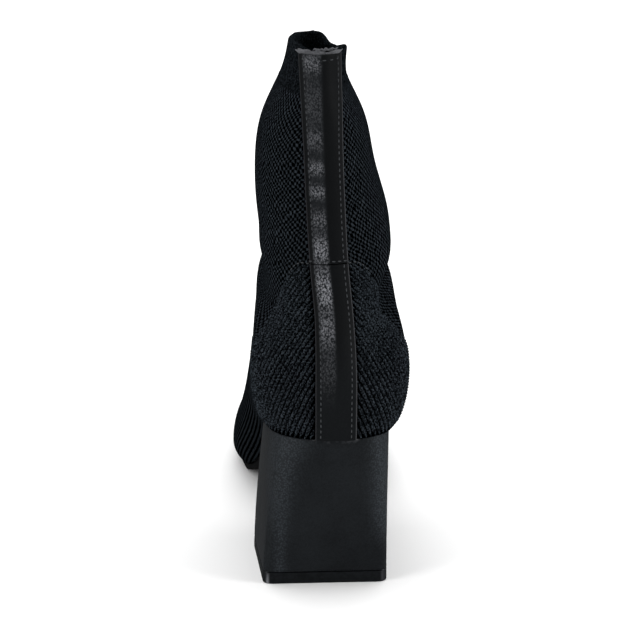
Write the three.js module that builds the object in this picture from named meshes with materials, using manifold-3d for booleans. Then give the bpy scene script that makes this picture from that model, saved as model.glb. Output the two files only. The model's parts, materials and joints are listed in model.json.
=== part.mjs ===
// A knit ankle boot on a block heel, for the left foot.
// Millimetres, +Z up, toe towards +Y, outer side of the foot towards -X.
// The origin is on the floor, in the middle of the heel's tread.

import * as THREE from 'three';
import { mergeVertices } from 'three/addons/utils/BufferGeometryUtils.js';
import Module from 'manifold-3d';

const wasm = await Module();
wasm.setup();

// Driving sizes
const shoeLength = 238; // rear of the heel counter to the tip of the toe
const ballWidth = 78; // the knit across the ball of the foot
const ankleWidth = 57; // the knit across the shaft
const heelHeight = 67; // floor to the rear edge of the heel seat
const instepHeight = 62; // heel seat to the bend of the ankle, the scale of the foot's heights
const shaftHeight = 106; // bend of the ankle to the rear of the collar
const upperWall = 2; // thickness of the knit
const bandHeight = 20; // ribbed band at the top of the shaft
const bandStep = 0.5; // how far the band stands back from the knit below it
const soleThickness = 3;
const soleInset = 1; // the sole's edge inside the foot of the knit
const toeSpring = 8; // rise of the sole at the toe
const insoleThickness = 3;
const insoleGap = 0.5; // clearance between the insole and the inside of the knit
const heelWidth = 60.5; // heel block across its breast, at its foot
const heelBack = 54.5; // heel block across its back, at its foot
const heelDepth = 47; // heel block from back to breast at its foot
const heelInset = 5; // back of the block's foot ahead of the rear of the counter
const heelShift = -3; // middle of the block's foot off the middle of the counter
const heelCorner = 4; // radius of the rear corners of the block's foot
const heelFlare = 1.5; // how late the block spreads from its foot to the seat
const breastLean = 1.5; // how far the breast leans forward from foot to seat
const seatInset = 1; // the block's top edge inside the foot of the knit
const liftThickness = 5;
const stripWidth = 17.5; // leather strip up the back
const stripThickness = 1.2;
const stripReach = 26; // how far round the shaft the strip may run, from the rear of the counter
const seamHeight = 76; // cross seam of the strip above the heel seat
const seamGap = 0.5; // between the strip's two pieces
const touchGap = 0.3; // clearance between pieces that lie on each other

// How finely the curved forms are divided, and how far cutting forms reach
const ringCount = 40;
const columnCount = 44;
const lineSteps = 36;
const edgeSteps = 32; // divisions of each side of the sole's edge
const heelSteps = 30; // divisions of the heel block from breast to breast
const heelLevels = 6;
const cornerSteps = 6; // divisions of a rounded corner of the block
const stripSteps = 12; // divisions of the strip's height
const halvings = 30; // steps of each search by halving
const alongStep = 0.005; // steps along and round the form for its normal
const turnStep = 0.03;
const lastDrop = 11; // how far the closed form runs on below the sole line
const margin = 20; // how far a cutting form runs past what it cuts
const weld = 1e-4; // points closer than this are one

// The sole line is the sole's upper face from the rear of the seat to the toe.
// at is a share of the length, rise of the heel's height, spring of the toe spring.
const soleLineTable = [
  { at: 0.0, rise: 1.0, spring: 0 },
  { at: 0.06, rise: 0.99, spring: 0 },
  { at: 0.13, rise: 0.955, spring: 0 },
  { at: 0.21, rise: 0.885, spring: 0 },
  { at: 0.31, rise: 0.71, spring: 0 },
  { at: 0.41, rise: 0.45, spring: 0 },
  { at: 0.5, rise: 0.22, spring: 0 },
  { at: 0.58, rise: 0.07, spring: 0 },
  { at: 0.65, rise: 0, spring: 0 },
  { at: 0.77, rise: 0, spring: 0 },
  { at: 0.86, rise: 0, spring: 0.14 },
  { at: 0.94, rise: 0, spring: 0.5 },
  { at: 1.0, rise: 0, spring: 1 },
];

// Sections of the foot, from the toe to the waist. at and under are the section's top and bottom
// as shares of the length, top its height over the sole line as a share of the instep's height,
// lateral, medial and shift its half widths and its shift inwards as shares of the ball's width,
// wide where it is widest from top to bottom, crown and belly how square it is above and below.
const footSections = [
  { at: 1.0, under: 1.0, top: 0.05, lateral: 0, medial: 0, shift: 0.073,
    wide: 0.5, crown: 2, belly: 2 },
  { at: 0.993, under: 0.993, top: 0.23, lateral: 0.208, medial: 0.2, shift: 0.068,
    wide: 0.55, crown: 2.1, belly: 2.3 },
  { at: 0.976, under: 0.976, top: 0.35, lateral: 0.327, medial: 0.288, shift: 0.057,
    wide: 0.6, crown: 2.2, belly: 2.6 },
  { at: 0.946, under: 0.946, top: 0.43, lateral: 0.415, medial: 0.351, shift: 0.042,
    wide: 0.62, crown: 2.2, belly: 2.7 },
  { at: 0.9, under: 0.9, top: 0.5, lateral: 0.462, medial: 0.391, shift: 0.026,
    wide: 0.64, crown: 2.2, belly: 2.6 },
  { at: 0.84, under: 0.84, top: 0.59, lateral: 0.493, medial: 0.426, shift: 0.016,
    wide: 0.66, crown: 2.15, belly: 2.4 },
  { at: 0.77, under: 0.77, top: 0.72, lateral: 0.519, medial: 0.456, shift: 0.01,
    wide: 0.69, crown: 2.05, belly: 2.2 },
  { at: 0.69, under: 0.68, top: 0.92, lateral: 0.535, medial: 0.464, shift: 0.01,
    wide: 0.71, crown: 1.95, belly: 2.1 },
  { at: 0.61, under: 0.58, top: 1.17, lateral: 0.519, medial: 0.452, shift: 0.01,
    wide: 0.71, crown: 1.9, belly: 2.05 },
  { at: 0.54, under: 0.46, top: 1.34, lateral: 0.483, medial: 0.418, shift: 0.01,
    wide: 0.68, crown: 1.95, belly: 2 },
];

// Sections from the instep through the heel: top is the height over the seat here.
const heelSections = [
  { at: 0.485, under: 0.33, top: 0.72, lateral: 0.452, medial: 0.405, shift: 0.01,
    wide: 0.64, crown: 2, belly: 2.1 },
  { at: 0.45, under: 0.2, top: 0.91, lateral: 0.441, medial: 0.402, shift: 0.01,
    wide: 0.64, crown: 2, belly: 2.2 },
  { at: 0.43, under: 0.075, top: 1.06, lateral: 0.436, medial: 0.41, shift: 0.01,
    wide: 0.65, crown: 2, belly: 2.25 },
];

// Sections of the counter and the shaft. front and rear are shares of the length, lateral, medial,
// frontShift and rearShift of the ankle's width. frontInstep and frontShaft are the front's height
// over the seat as shares of the instep's and the shaft's, and rearInstep and rearShaft the rear's.
const legSections = [
  { front: 0.42, frontInstep: 1.2, frontShaft: 0, rear: 0.013, rearInstep: -0.06, rearShaft: 0,
    lateral: 0.6, medial: 0.59, frontShift: 0.02, rearShift: 0.02, wide: 0.65, crown: 2, belly: 2.25 },
  { front: 0.415, frontInstep: 1.31, frontShaft: 0, rear: 0, rearInstep: 0.27, rearShaft: 0,
    lateral: 0.605, medial: 0.535, frontShift: 0.02, rearShift: 0.02, wide: 0.63, crown: 2, belly: 2.2 },
  { front: 0.413, frontInstep: 1.4, frontShaft: 0.01, rear: 0.008, rearInstep: 0.6, rearShaft: 0,
    lateral: 0.5, medial: 0.375, frontShift: 0.015, rearShift: 0.015, wide: 0.58, crown: 2, belly: 2.1 },
  { front: 0.412, frontInstep: 1.4, frontShaft: 0.09, rear: 0.028, rearInstep: 1, rearShaft: 0,
    lateral: 0.505, medial: 0.47, frontShift: 0.01, rearShift: 0, wide: 0.53, crown: 2, belly: 2 },
  { front: 0.412, frontInstep: 1.4, frontShaft: 0.18, rear: 0.042, rearInstep: 1, rearShaft: 0.22,
    lateral: 0.525, medial: 0.465, frontShift: 0, rearShift: -0.03, wide: 0.5, crown: 2, belly: 2 },
  { front: 0.414, frontInstep: 1.4, frontShaft: 0.31, rear: 0.04, rearInstep: 1, rearShaft: 0.43,
    lateral: 0.51, medial: 0.4, frontShift: -0.02, rearShift: -0.05, wide: 0.5, crown: 1.95, belly: 2.05 },
  { front: 0.42, frontInstep: 1.4, frontShaft: 0.45, rear: 0.032, rearInstep: 1, rearShaft: 0.64,
    lateral: 0.44, medial: 0.345, frontShift: -0.035, rearShift: -0.07, wide: 0.5, crown: 1.9, belly: 2.15 },
  { front: 0.43, frontInstep: 1.4, frontShaft: 0.59, rear: 0.022, rearInstep: 1, rearShaft: 0.83,
    lateral: 0.29, medial: 0.22, frontShift: -0.045, rearShift: -0.085, wide: 0.5, crown: 1.9, belly: 2.3 },
  { front: 0.44, frontInstep: 1.4, frontShaft: 0.69, rear: 0.014, rearInstep: 1, rearShaft: 1,
    lateral: 0.215, medial: 0.21, frontShift: -0.055, rearShift: -0.095, wide: 0.5, crown: 1.9, belly: 2.5 },
];

// Middle of the back strip off the middle of the counter, as a share of the ankle's width,
// at heights over the seat that are shares of the leg's height.
const stripMiddleTable = [
  { up: -0.1, shift: 0.025 },
  { up: 0.15, shift: 0.025 },
  { up: 0.3, shift: 0.015 },
  { up: 0.45, shift: -0.02 },
  { up: 0.7, shift: -0.06 },
  { up: 1.1, shift: -0.1 },
];

const { lerp, clamp } = THREE.MathUtils;
const legHeight = instepHeight + shaftHeight;

// A curve through the rows of a table that never swings past them
function steadyCurve(rows, across, up) {
  const last = rows.length - 1;
  const gap = rows.slice(1).map((row, i) => row[across] - rows[i][across]);
  const slope = rows.slice(1).map((row, i) => (row[up] - rows[i][up]) / gap[i]);
  const tangent = rows.map((row, i) => {
    if (i === 0) return slope[0];
    if (i === last) return slope[last - 1];
    if (slope[i - 1] * slope[i] <= 0) return 0;
    const before = 2 * gap[i] + gap[i - 1];
    const after = gap[i] + 2 * gap[i - 1];
    return (before + after) / (before / slope[i - 1] + after / slope[i]);
  });
  return (x) => {
    const found = rows.findIndex((row) => row[across] > x);
    const i = found < 0 ? last - 1 : clamp(found - 1, 0, last - 1);
    const t = clamp((x - rows[i][across]) / gap[i], 0, 1);
    const chord = rows[i + 1][up] - rows[i][up];
    const leaving = tangent[i] * gap[i] - chord;
    const arriving = tangent[i + 1] * gap[i] - chord;
    return rows[i][up] + t * chord + t * (1 - t) * ((1 - t) * leaving - t * arriving);
  };
}

// A curve through evenly numbered values whose bend changes smoothly
function smoothCurve(values) {
  const last = values.length - 1;
  const bend = values.map(() => 0);
  const weight = values.map(() => 0);
  for (let i = 1; i < last; i += 1) {
    const pivot = 4 - weight[i - 1];
    const turn = 6 * (values[i + 1] - 2 * values[i] + values[i - 1]);
    weight[i] = 1 / pivot;
    bend[i] = (turn - bend[i - 1]) / pivot;
  }
  for (let i = last - 1; i > 0; i -= 1) bend[i] -= weight[i] * bend[i + 1];
  return (t) => {
    const i = clamp(Math.floor(t), 0, last - 1);
    const b = t - i;
    const a = 1 - b;
    const curved = (a ** 3 - a) * bend[i] + (b ** 3 - b) * bend[i + 1];
    return a * values[i] + b * values[i + 1] + curved / 6;
  };
}

const soleRise = steadyCurve(soleLineTable, 'at', 'rise');
const soleSpring = steadyCurve(soleLineTable, 'at', 'spring');
const stripShift = steadyCurve(stripMiddleTable, 'up', 'shift');

function soleLine(y) {
  const at = clamp(y / shoeLength, 0, 1);
  return soleThickness + soleRise(at) * (heelHeight - soleThickness) + soleSpring(at) * toeSpring;
}

// Sections in millimetres

function footSection(row, base) {
  const drop = row.lateral > 0 ? lastDrop : -row.top * instepHeight;
  return {
    frontY: row.at * shoeLength,
    frontZ: base(row.at * shoeLength) + row.top * instepHeight,
    rearY: row.under * shoeLength,
    rearZ: soleLine(row.under * shoeLength) - drop,
    lateral: row.lateral * ballWidth,
    medial: row.medial * ballWidth,
    frontX: row.shift * ballWidth,
    rearX: row.shift * ballWidth,
    wide: row.wide,
    crown: row.crown,
    belly: row.belly,
  };
}

function legSection(row) {
  return {
    frontY: row.front * shoeLength,
    frontZ: heelHeight + row.frontInstep * instepHeight + row.frontShaft * shaftHeight,
    rearY: row.rear * shoeLength,
    rearZ: heelHeight + row.rearInstep * instepHeight + row.rearShaft * shaftHeight,
    lateral: row.lateral * ankleWidth,
    medial: row.medial * ankleWidth,
    frontX: row.frontShift * ankleWidth,
    rearX: row.rearShift * ankleWidth,
    wide: row.wide,
    crown: row.crown,
    belly: row.belly,
  };
}

const sections = [
  ...footSections.map((row) => footSection(row, soleLine)),
  ...heelSections.map((row) => footSection(row, () => heelHeight)),
  ...legSections.map(legSection),
];
const sectionCurves = Object.entries(sections[0]).map(([column]) => [
  column,
  smoothCurve(sections.map((section) => section[column])),
]);

// The form of the upper

// A point of the form: along runs from the tip of the toe, 0, to the collar, 1, and turn runs
// round the section, from its front or top over the outer side to its rear or bottom
function formPoint(along, turn) {
  const t = along * (sections.length - 1);
  const s = Object.fromEntries(sectionCurves.map(([column, curve]) => [column, curve(t)]));
  const facing = Math.cos(turn);
  const power = 2 / (facing >= 0 ? s.crown : s.belly);
  const reach = Math.abs(facing) ** power;
  const down = facing >= 0 ? s.wide * (1 - reach) : s.wide + (1 - s.wide) * reach;
  const half = Math.sin(turn) >= 0 ? -s.lateral : s.medial;
  return new THREE.Vector3(
    lerp(s.frontX, s.rearX, down) + half * Math.abs(Math.sin(turn)) ** power,
    lerp(s.frontY, s.rearY, down),
    lerp(s.frontZ, s.rearZ, down),
  );
}

// The same point moved out along the form's normal
function offsetPoint(along, turn, offset) {
  const ahead = formPoint(Math.min(along + alongStep, 1), turn);
  const rise = ahead.sub(formPoint(Math.max(along - alongStep, 0), turn));
  const round = formPoint(along, turn + turnStep).sub(formPoint(along, turn - turnStep));
  return formPoint(along, turn).addScaledVector(round.cross(rise).normalize(), offset);
}

// The last place from one to another at which a test holds, found by halving
function lastPlace(from, to, holds) {
  let near = from;
  let far = to;
  for (let i = 0; i < halvings; i += 1) {
    const middle = (near + far) / 2;
    if (holds(middle)) near = middle;
    else far = middle;
  }
  return near;
}

// Where the ribbed band starts, and the places of the rings: evenly spread, with a close pair
// at the foot of the band for its step
const lowestShaft = (sections.length - legSections.length) / (sections.length - 1);
const bandFoot = formPoint(1, Math.PI).z - bandHeight;
const bandPlace = lastPlace(lowestShaft, 1, (along) => formPoint(along, Math.PI).z < bandFoot);
const bandPair = 0.15 / ringCount;
const places = [
  ...Array.from({ length: ringCount }, (_, i) => (i + 1) / ringCount)
    .filter((along) => Math.abs(along - bandPlace) > 2 * bandPair),
  bandPlace - bandPair,
  bandPlace + bandPair,
].sort((a, b) => a - b);

function formRings(offset) {
  const nudge = (along) => offset - (along > bandPlace ? bandStep : 0);
  return places.map((along) =>
    Array.from({ length: columnCount }, (_, j) =>
      offsetPoint(along, (2 * Math.PI * j) / columnCount, nudge(along))));
}

function toeTip(offset) {
  return formPoint(0, 0).add(new THREE.Vector3(0, offset, 0));
}

// Meshes and solids

function geometryOf(points, faces) {
  const geometry = new THREE.BufferGeometry();
  const numbers = points.flatMap((p) => [p.x, p.y, p.z]);
  geometry.setAttribute('position', new THREE.Float32BufferAttribute(numbers, 3));
  geometry.setIndex(faces.flat());
  return geometry;
}

function solidOf(geometry) {
  const bare = geometry.clone();
  bare.deleteAttribute('normal');
  bare.deleteAttribute('uv');
  const merged = mergeVertices(bare, weld);
  return new wasm.Manifold(new wasm.Mesh({
    numProp: 3,
    vertProperties: new Float32Array(merged.attributes.position.array),
    triVerts: new Uint32Array(merged.index.array),
  }));
}

function geometryFrom(solid) {
  const mesh = solid.getMesh();
  const geometry = new THREE.BufferGeometry();
  const numbers = new Float32Array(mesh.vertProperties);
  geometry.setAttribute('position', new THREE.BufferAttribute(numbers, 3));
  geometry.setIndex(new THREE.BufferAttribute(new Uint32Array(mesh.triVerts), 1));
  const flat = geometry.toNonIndexed();
  flat.computeVertexNormals();
  return flat;
}

// Faces between rings of points, and from a first point to the first ring
function ringFaces(ringTotal, count, base) {
  const faces = [];
  for (let i = 0; i < ringTotal - 1; i += 1) {
    for (let j = 0; j < count; j += 1) {
      const a = base + i * count + j;
      const b = base + i * count + ((j + 1) % count);
      faces.push([a, b, a + count], [b, b + count, a + count]);
    }
  }
  return faces;
}

function fanFaces(tip, base, count) {
  return Array.from({ length: count }, (_, j) => [tip, base + ((j + 1) % count), base + j]);
}

// The form as one closed solid, carried on straight up from the collar by a rise and capped
function formSolid(offset, rise) {
  const rings = formRings(offset);
  rings.push(rings.at(-1).map((p) => p.clone().setZ(p.z + rise)));
  const total = rings.length * columnCount;
  const rim = rings.at(-1);
  const middle = rim.reduce((sum, p) => sum.add(p), new THREE.Vector3()).divideScalar(columnCount);
  const points = [...rings.flat(), toeTip(offset), middle];
  const cap = fanFaces(total + 1, total - columnCount, columnCount).map((face) => face.toReversed());
  const faces = [
    ...ringFaces(rings.length, columnCount, 0),
    ...fanFaces(total, 0, columnCount),
    ...cap,
  ];
  return solidOf(geometryOf(points, faces));
}

// The form as a wall of the knit's thickness, open at the collar
function wallSolid() {
  const outside = formRings(0);
  const inside = formRings(-upperWall);
  const total = outside.length * columnCount;
  const points = [...outside.flat(), ...inside.flat(), toeTip(0), toeTip(-upperWall)];
  const outer = [
    ...ringFaces(outside.length, columnCount, 0),
    ...fanFaces(2 * total, 0, columnCount),
  ];
  const inner = [
    ...ringFaces(inside.length, columnCount, total),
    ...fanFaces(2 * total + 1, total, columnCount),
  ].map((face) => face.toReversed());
  const rim = [];
  for (let j = 0; j < columnCount; j += 1) {
    const a = total - columnCount + j;
    const b = total - columnCount + ((j + 1) % columnCount);
    rim.push([a, b, b + total], [a, b + total, a + total]);
  }
  return solidOf(geometryOf(points, [...outer, ...inner, ...rim]));
}

// A slab right across the shoe between two lines along its length
function slabSolid(lower, upper, from, to) {
  const stations = Array.from({ length: lineSteps + 1 }, (_, i) => lerp(from, to, i / lineSteps));
  const bottom = stations.map((y) => new THREE.Vector2(y, lower(y)));
  const top = stations.map((y) => new THREE.Vector2(y, upper(y))).reverse();
  const width = 2 * ballWidth;
  const slab = new THREE.ExtrudeGeometry(new THREE.Shape([...bottom, ...top]), {
    depth: width,
    bevelEnabled: false,
    steps: 1,
  });
  slab.translate(0, 0, -width / 2);
  slab.applyMatrix4(new THREE.Matrix4().makeBasis(
    new THREE.Vector3(0, 1, 0),
    new THREE.Vector3(0, 0, 1),
    new THREE.Vector3(1, 0, 0),
  ));
  return solidOf(slab);
}

const solePart = (rise) => (y) => soleLine(y) + rise;
const rearEnd = -margin;
const toeEnd = shoeLength + margin;

// Pieces

function upper() {
  const ground = slabSolid(() => -margin, solePart(touchGap), rearEnd, toeEnd);
  return wallSolid().subtract(ground);
}

function insole() {
  const bed = slabSolid(solePart(touchGap), solePart(touchGap + insoleThickness), rearEnd, toeEnd);
  return formSolid(-upperWall - insoleGap, touchGap).intersect(bed);
}

// Where the knit's foot meets the sole line, on one side of a section
const aboveSole = (p) => p.z > soleLine(p.y) + touchGap;

function footPoint(along, side) {
  const turn = lastPlace(Math.PI / 2, Math.PI, (angle) => aboveSole(formPoint(along, side * angle)));
  return formPoint(along, side * turn);
}

// The outline of the knit's foot in plan, counterclockwise from the rear, moved in by an inset
function footOutline(inset) {
  const waist = footSections.length / (sections.length - 1);
  const onSole = (along) => !aboveSole(formPoint(along, Math.PI));
  const toe = lastPlace(waist, 0, onSole);
  const rear = lastPlace(waist, 1, onSole);
  const stops = Array.from({ length: edgeSteps + 1 }, (_, k) =>
    lerp(rear, toe, (1 - Math.cos((Math.PI * k) / edgeSteps)) / 2));
  const medial = stops.map((along) => footPoint(along, -1));
  const lateral = stops.slice(1, -1).map((along) => footPoint(along, 1)).reverse();
  const outline = [...medial, ...lateral];
  return outline.map((p, i) => {
    const before = outline.at(i - 1);
    const after = outline[(i + 1) % outline.length];
    const way = new THREE.Vector2(after.x - before.x, after.y - before.y).normalize();
    return new THREE.Vector2(p.x - way.y * inset, p.y + way.x * inset);
  });
}

const seatBreast = heelInset + heelDepth + breastLean;

function outsole() {
  const column = new THREE.ExtrudeGeometry(new THREE.Shape(footOutline(soleInset)), {
    depth: heelHeight + 2 * margin,
    bevelEnabled: false,
    steps: 1,
  });
  column.translate(0, 0, -margin);
  const layer = slabSolid(solePart(-soleThickness), solePart(0), seatBreast + touchGap, toeEnd);
  return solidOf(column).intersect(layer);
}

// A line of points at even distances along an open line
function evenly(points, steps) {
  const curve = new THREE.CurvePath();
  points.slice(1).forEach((p, i) => curve.add(new THREE.LineCurve(points[i], p)));
  return Array.from({ length: steps + 1 }, (_, k) => curve.getPoint(k / steps));
}

// The block's top edge: the foot of the knit from breast to breast, round the rear
function seatLine() {
  const outline = footOutline(seatInset);
  const start = outline.findIndex((p, i) => i > outline.length / 2 && p.y < seatBreast);
  const end = outline.findIndex((p) => p.y > seatBreast);
  const corner = (inner, outer) =>
    inner.clone().lerp(outer, (seatBreast - inner.y) / (outer.y - inner.y));
  return [
    corner(outline[start], outline[start - 1]),
    ...outline.slice(start),
    ...outline.slice(0, end),
    corner(outline[end - 1], outline[end]),
  ];
}

// The block's foot: sides that open towards the breast, rear corners rounded
function footLine() {
  const half = heelWidth / 2;
  const back = heelBack / 2;
  const breast = heelInset + heelDepth;
  const arc = (x, from) => Array.from({ length: cornerSteps + 1 }, (_, k) => {
    const angle = from + (k / cornerSteps) * (Math.PI / 2);
    return new THREE.Vector2(
      heelShift + x + heelCorner * Math.cos(angle),
      heelInset + heelCorner + heelCorner * Math.sin(angle),
    );
  });
  return [
    new THREE.Vector2(heelShift - half, breast),
    ...arc(heelCorner - back, Math.PI),
    ...arc(back - heelCorner, 1.5 * Math.PI),
    new THREE.Vector2(heelShift + half, breast),
  ];
}

const seatEdge = evenly(seatLine(), heelSteps);
const footEdge = evenly(footLine(), heelSteps);

// A solid between two heights of the heel, its outline passing from the foot's to the seat's
function heelColumn(low, high, levels) {
  const count = heelSteps + 1;
  const points = [];
  for (let k = 0; k <= levels; k += 1) {
    const z = lerp(low, high, k / levels);
    const share = clamp(z / heelHeight, 0, 1) ** heelFlare;
    points.push(...footEdge.map((p, i) => {
      const at = p.clone().lerp(seatEdge[i], share);
      return new THREE.Vector3(at.x, at.y, z);
    }));
  }
  const middle = new THREE.Vector3(heelShift, heelInset + heelDepth / 2, low);
  const total = points.length;
  points.push(middle, middle.clone().setZ(high));
  const faces = [
    ...ringFaces(levels + 1, count, 0),
    ...fanFaces(total, 0, count),
    ...fanFaces(total + 1, levels * count, count).map((face) => face.toReversed()),
  ];
  return solidOf(geometryOf(points, faces));
}

function heelBlock() {
  const above = slabSolid(solePart(0), () => heelHeight + 2 * margin, rearEnd, toeEnd);
  return heelColumn(liftThickness + touchGap, heelHeight + touchGap, heelLevels).subtract(above);
}

function topLift() {
  return heelColumn(0, liftThickness, 1);
}

// The strip's outline seen from behind, between two heights over the seat
function stripPrism(low, high) {
  const middle = (z) => ankleWidth * stripShift((z - heelHeight) / legHeight);
  const heights = Array.from({ length: stripSteps + 1 }, (_, i) => lerp(low, high, i / stripSteps));
  const right = heights.map((z) => new THREE.Vector2(middle(z) + stripWidth / 2, z));
  const left = heights.map((z) => new THREE.Vector2(middle(z) - stripWidth / 2, z)).reverse();
  const prism = new THREE.ExtrudeGeometry(new THREE.Shape([...right, ...left]), {
    depth: margin + stripReach,
    bevelEnabled: false,
    steps: 1,
  });
  prism.rotateX(Math.PI / 2);
  prism.translate(0, stripReach, 0);
  return solidOf(prism);
}

const stripOutside = formSolid(touchGap + stripThickness, touchGap);
const stripCover = stripOutside.subtract(formSolid(touchGap, margin));
const seamZ = heelHeight + seamHeight;

function backStripUpper() {
  const top = formPoint(1, Math.PI).z - touchGap;
  return stripCover.intersect(stripPrism(seamZ + seamGap / 2, top));
}

function backStripLower() {
  return stripCover.intersect(stripPrism(heelHeight + touchGap, seamZ - seamGap / 2));
}

// Materials and the finished boot

const knit = new THREE.MeshStandardMaterial({ color: 0x15181a, roughness: 0.95, metalness: 0 });
const leather = new THREE.MeshStandardMaterial({ color: 0x1b1e20, roughness: 0.5, metalness: 0 });
const lining = new THREE.MeshStandardMaterial({ color: 0x202022, roughness: 0.8, metalness: 0 });
const rubber = new THREE.MeshStandardMaterial({ color: 0x121314, roughness: 0.75, metalness: 0 });

const pieces = [
  { name: 'upper', solid: upper(), material: knit },
  { name: 'back_strip_upper', solid: backStripUpper(), material: leather },
  { name: 'back_strip_lower', solid: backStripLower(), material: leather },
  { name: 'insole', solid: insole(), material: lining },
  { name: 'outsole', solid: outsole(), material: rubber },
  { name: 'heel_block', solid: heelBlock(), material: leather },
  { name: 'top_lift', solid: topLift(), material: rubber },
];

const boot = new THREE.Group();
for (const { name, solid, material } of pieces) {
  const mesh = new THREE.Mesh(geometryFrom(solid), material);
  mesh.name = name;
  boot.add(mesh);
}

// The heel's tread is centred on the origin
boot.position.set(-heelShift, -(heelInset + heelDepth / 2), 0);

export default boot;
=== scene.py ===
# A knit ankle boot on a block heel.
# Metres, +Z up, toe towards +Y, outer side of the foot towards -X.

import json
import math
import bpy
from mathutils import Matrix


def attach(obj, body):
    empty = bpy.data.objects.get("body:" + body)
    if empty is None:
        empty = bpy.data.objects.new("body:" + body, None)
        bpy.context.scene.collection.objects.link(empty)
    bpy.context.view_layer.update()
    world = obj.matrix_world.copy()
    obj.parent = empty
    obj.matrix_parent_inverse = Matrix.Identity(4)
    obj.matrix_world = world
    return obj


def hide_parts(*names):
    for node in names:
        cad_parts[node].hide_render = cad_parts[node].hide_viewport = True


bl_info = {
    "name": "Knit Ankle Boot",
    "version": (1, 0, 0),
    "blender": (4, 5, 0),
    "location": "3D View > Sidebar > Boot",
    "description": "Builds the knit, leather and rubber of an ankle boot over its solids",
    "category": "Object",
}

import bmesh
import bpy
import numpy as np
from bpy.props import FloatProperty, FloatVectorProperty, PointerProperty
from mathutils import Vector

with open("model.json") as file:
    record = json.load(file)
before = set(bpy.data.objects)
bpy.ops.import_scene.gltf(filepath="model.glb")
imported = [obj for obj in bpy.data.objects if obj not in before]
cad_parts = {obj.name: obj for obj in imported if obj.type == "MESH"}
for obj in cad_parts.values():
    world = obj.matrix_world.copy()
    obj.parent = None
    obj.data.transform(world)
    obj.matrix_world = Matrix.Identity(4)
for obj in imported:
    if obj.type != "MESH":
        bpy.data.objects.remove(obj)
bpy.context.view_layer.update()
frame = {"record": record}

MM = 0.001

# Driving sizes of the boot, as its solids have them
SHOE_LENGTH = 238 * MM
BALL_WIDTH = 78 * MM
ANKLE_WIDTH = 57 * MM
HEEL_HEIGHT = 67 * MM
INSTEP_HEIGHT = 62 * MM
SHAFT_HEIGHT = 106 * MM
LEG_HEIGHT = INSTEP_HEIGHT + SHAFT_HEIGHT
UPPER_WALL = 2 * MM
BAND_HEIGHT = 20 * MM
BAND_STEP = 0.5 * MM
SOLE_THICKNESS = 3 * MM
TOE_SPRING = 8 * MM
HEEL_WIDTH = 60.5 * MM
HEEL_BACK = 54.5 * MM
HEEL_DEPTH = 47 * MM
HEEL_INSET = 5 * MM
HEEL_SHIFT = -3 * MM
HEEL_CORNER = 4 * MM
HEEL_FLARE = 1.5
BREAST_LEAN = 1.5 * MM
SEAT_INSET = 1 * MM
LIFT_THICKNESS = 5 * MM
STRIP_WIDTH = 17.5 * MM
STRIP_THICKNESS = 1.2 * MM
SEAM_HEIGHT = 76 * MM
SEAM_LAP = 0.06 * MM
TOUCH_GAP = 0.3 * MM
LAST_DROP = 11 * MM

# Step along and round the form over which its slopes are taken
TINY = 1e-4

# The tables below are shares of the driving sizes; their origin is the rear of the counter
HOME = np.array([-HEEL_SHIFT, -(HEEL_INSET + HEEL_DEPTH / 2), 0.0])

# Share of the length, of the heel's height, of the toe spring
SOLE_LINE = np.array([
    (0.0, 1.0, 0), (0.06, 0.99, 0), (0.13, 0.955, 0), (0.21, 0.885, 0), (0.31, 0.71, 0),
    (0.41, 0.45, 0), (0.5, 0.22, 0), (0.58, 0.07, 0), (0.65, 0, 0), (0.77, 0, 0),
    (0.86, 0, 0.14), (0.94, 0, 0.5), (1.0, 0, 1),
])

# Foot: at, under, top, lateral, medial, shift, wide, crown, belly
FOOT = [
    (1.0, 1.0, 0.05, 0, 0, 0.073, 0.5, 2, 2),
    (0.993, 0.993, 0.23, 0.208, 0.2, 0.068, 0.55, 2.1, 2.3),
    (0.976, 0.976, 0.35, 0.327, 0.288, 0.057, 0.6, 2.2, 2.6),
    (0.946, 0.946, 0.43, 0.415, 0.351, 0.042, 0.62, 2.2, 2.7),
    (0.9, 0.9, 0.5, 0.462, 0.391, 0.026, 0.64, 2.2, 2.6),
    (0.84, 0.84, 0.59, 0.493, 0.426, 0.016, 0.66, 2.15, 2.4),
    (0.77, 0.77, 0.72, 0.519, 0.456, 0.01, 0.69, 2.05, 2.2),
    (0.69, 0.68, 0.92, 0.535, 0.464, 0.01, 0.71, 1.95, 2.1),
    (0.61, 0.58, 1.17, 0.519, 0.452, 0.01, 0.71, 1.9, 2.05),
    (0.54, 0.46, 1.34, 0.483, 0.418, 0.01, 0.68, 1.95, 2),
]
# Instep and heel: the same columns, top over the seat
INSTEP = [
    (0.485, 0.33, 0.72, 0.452, 0.405, 0.01, 0.64, 2, 2.1),
    (0.45, 0.2, 0.91, 0.441, 0.402, 0.01, 0.64, 2, 2.2),
    (0.43, 0.075, 1.06, 0.436, 0.41, 0.01, 0.65, 2, 2.25),
]
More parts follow.
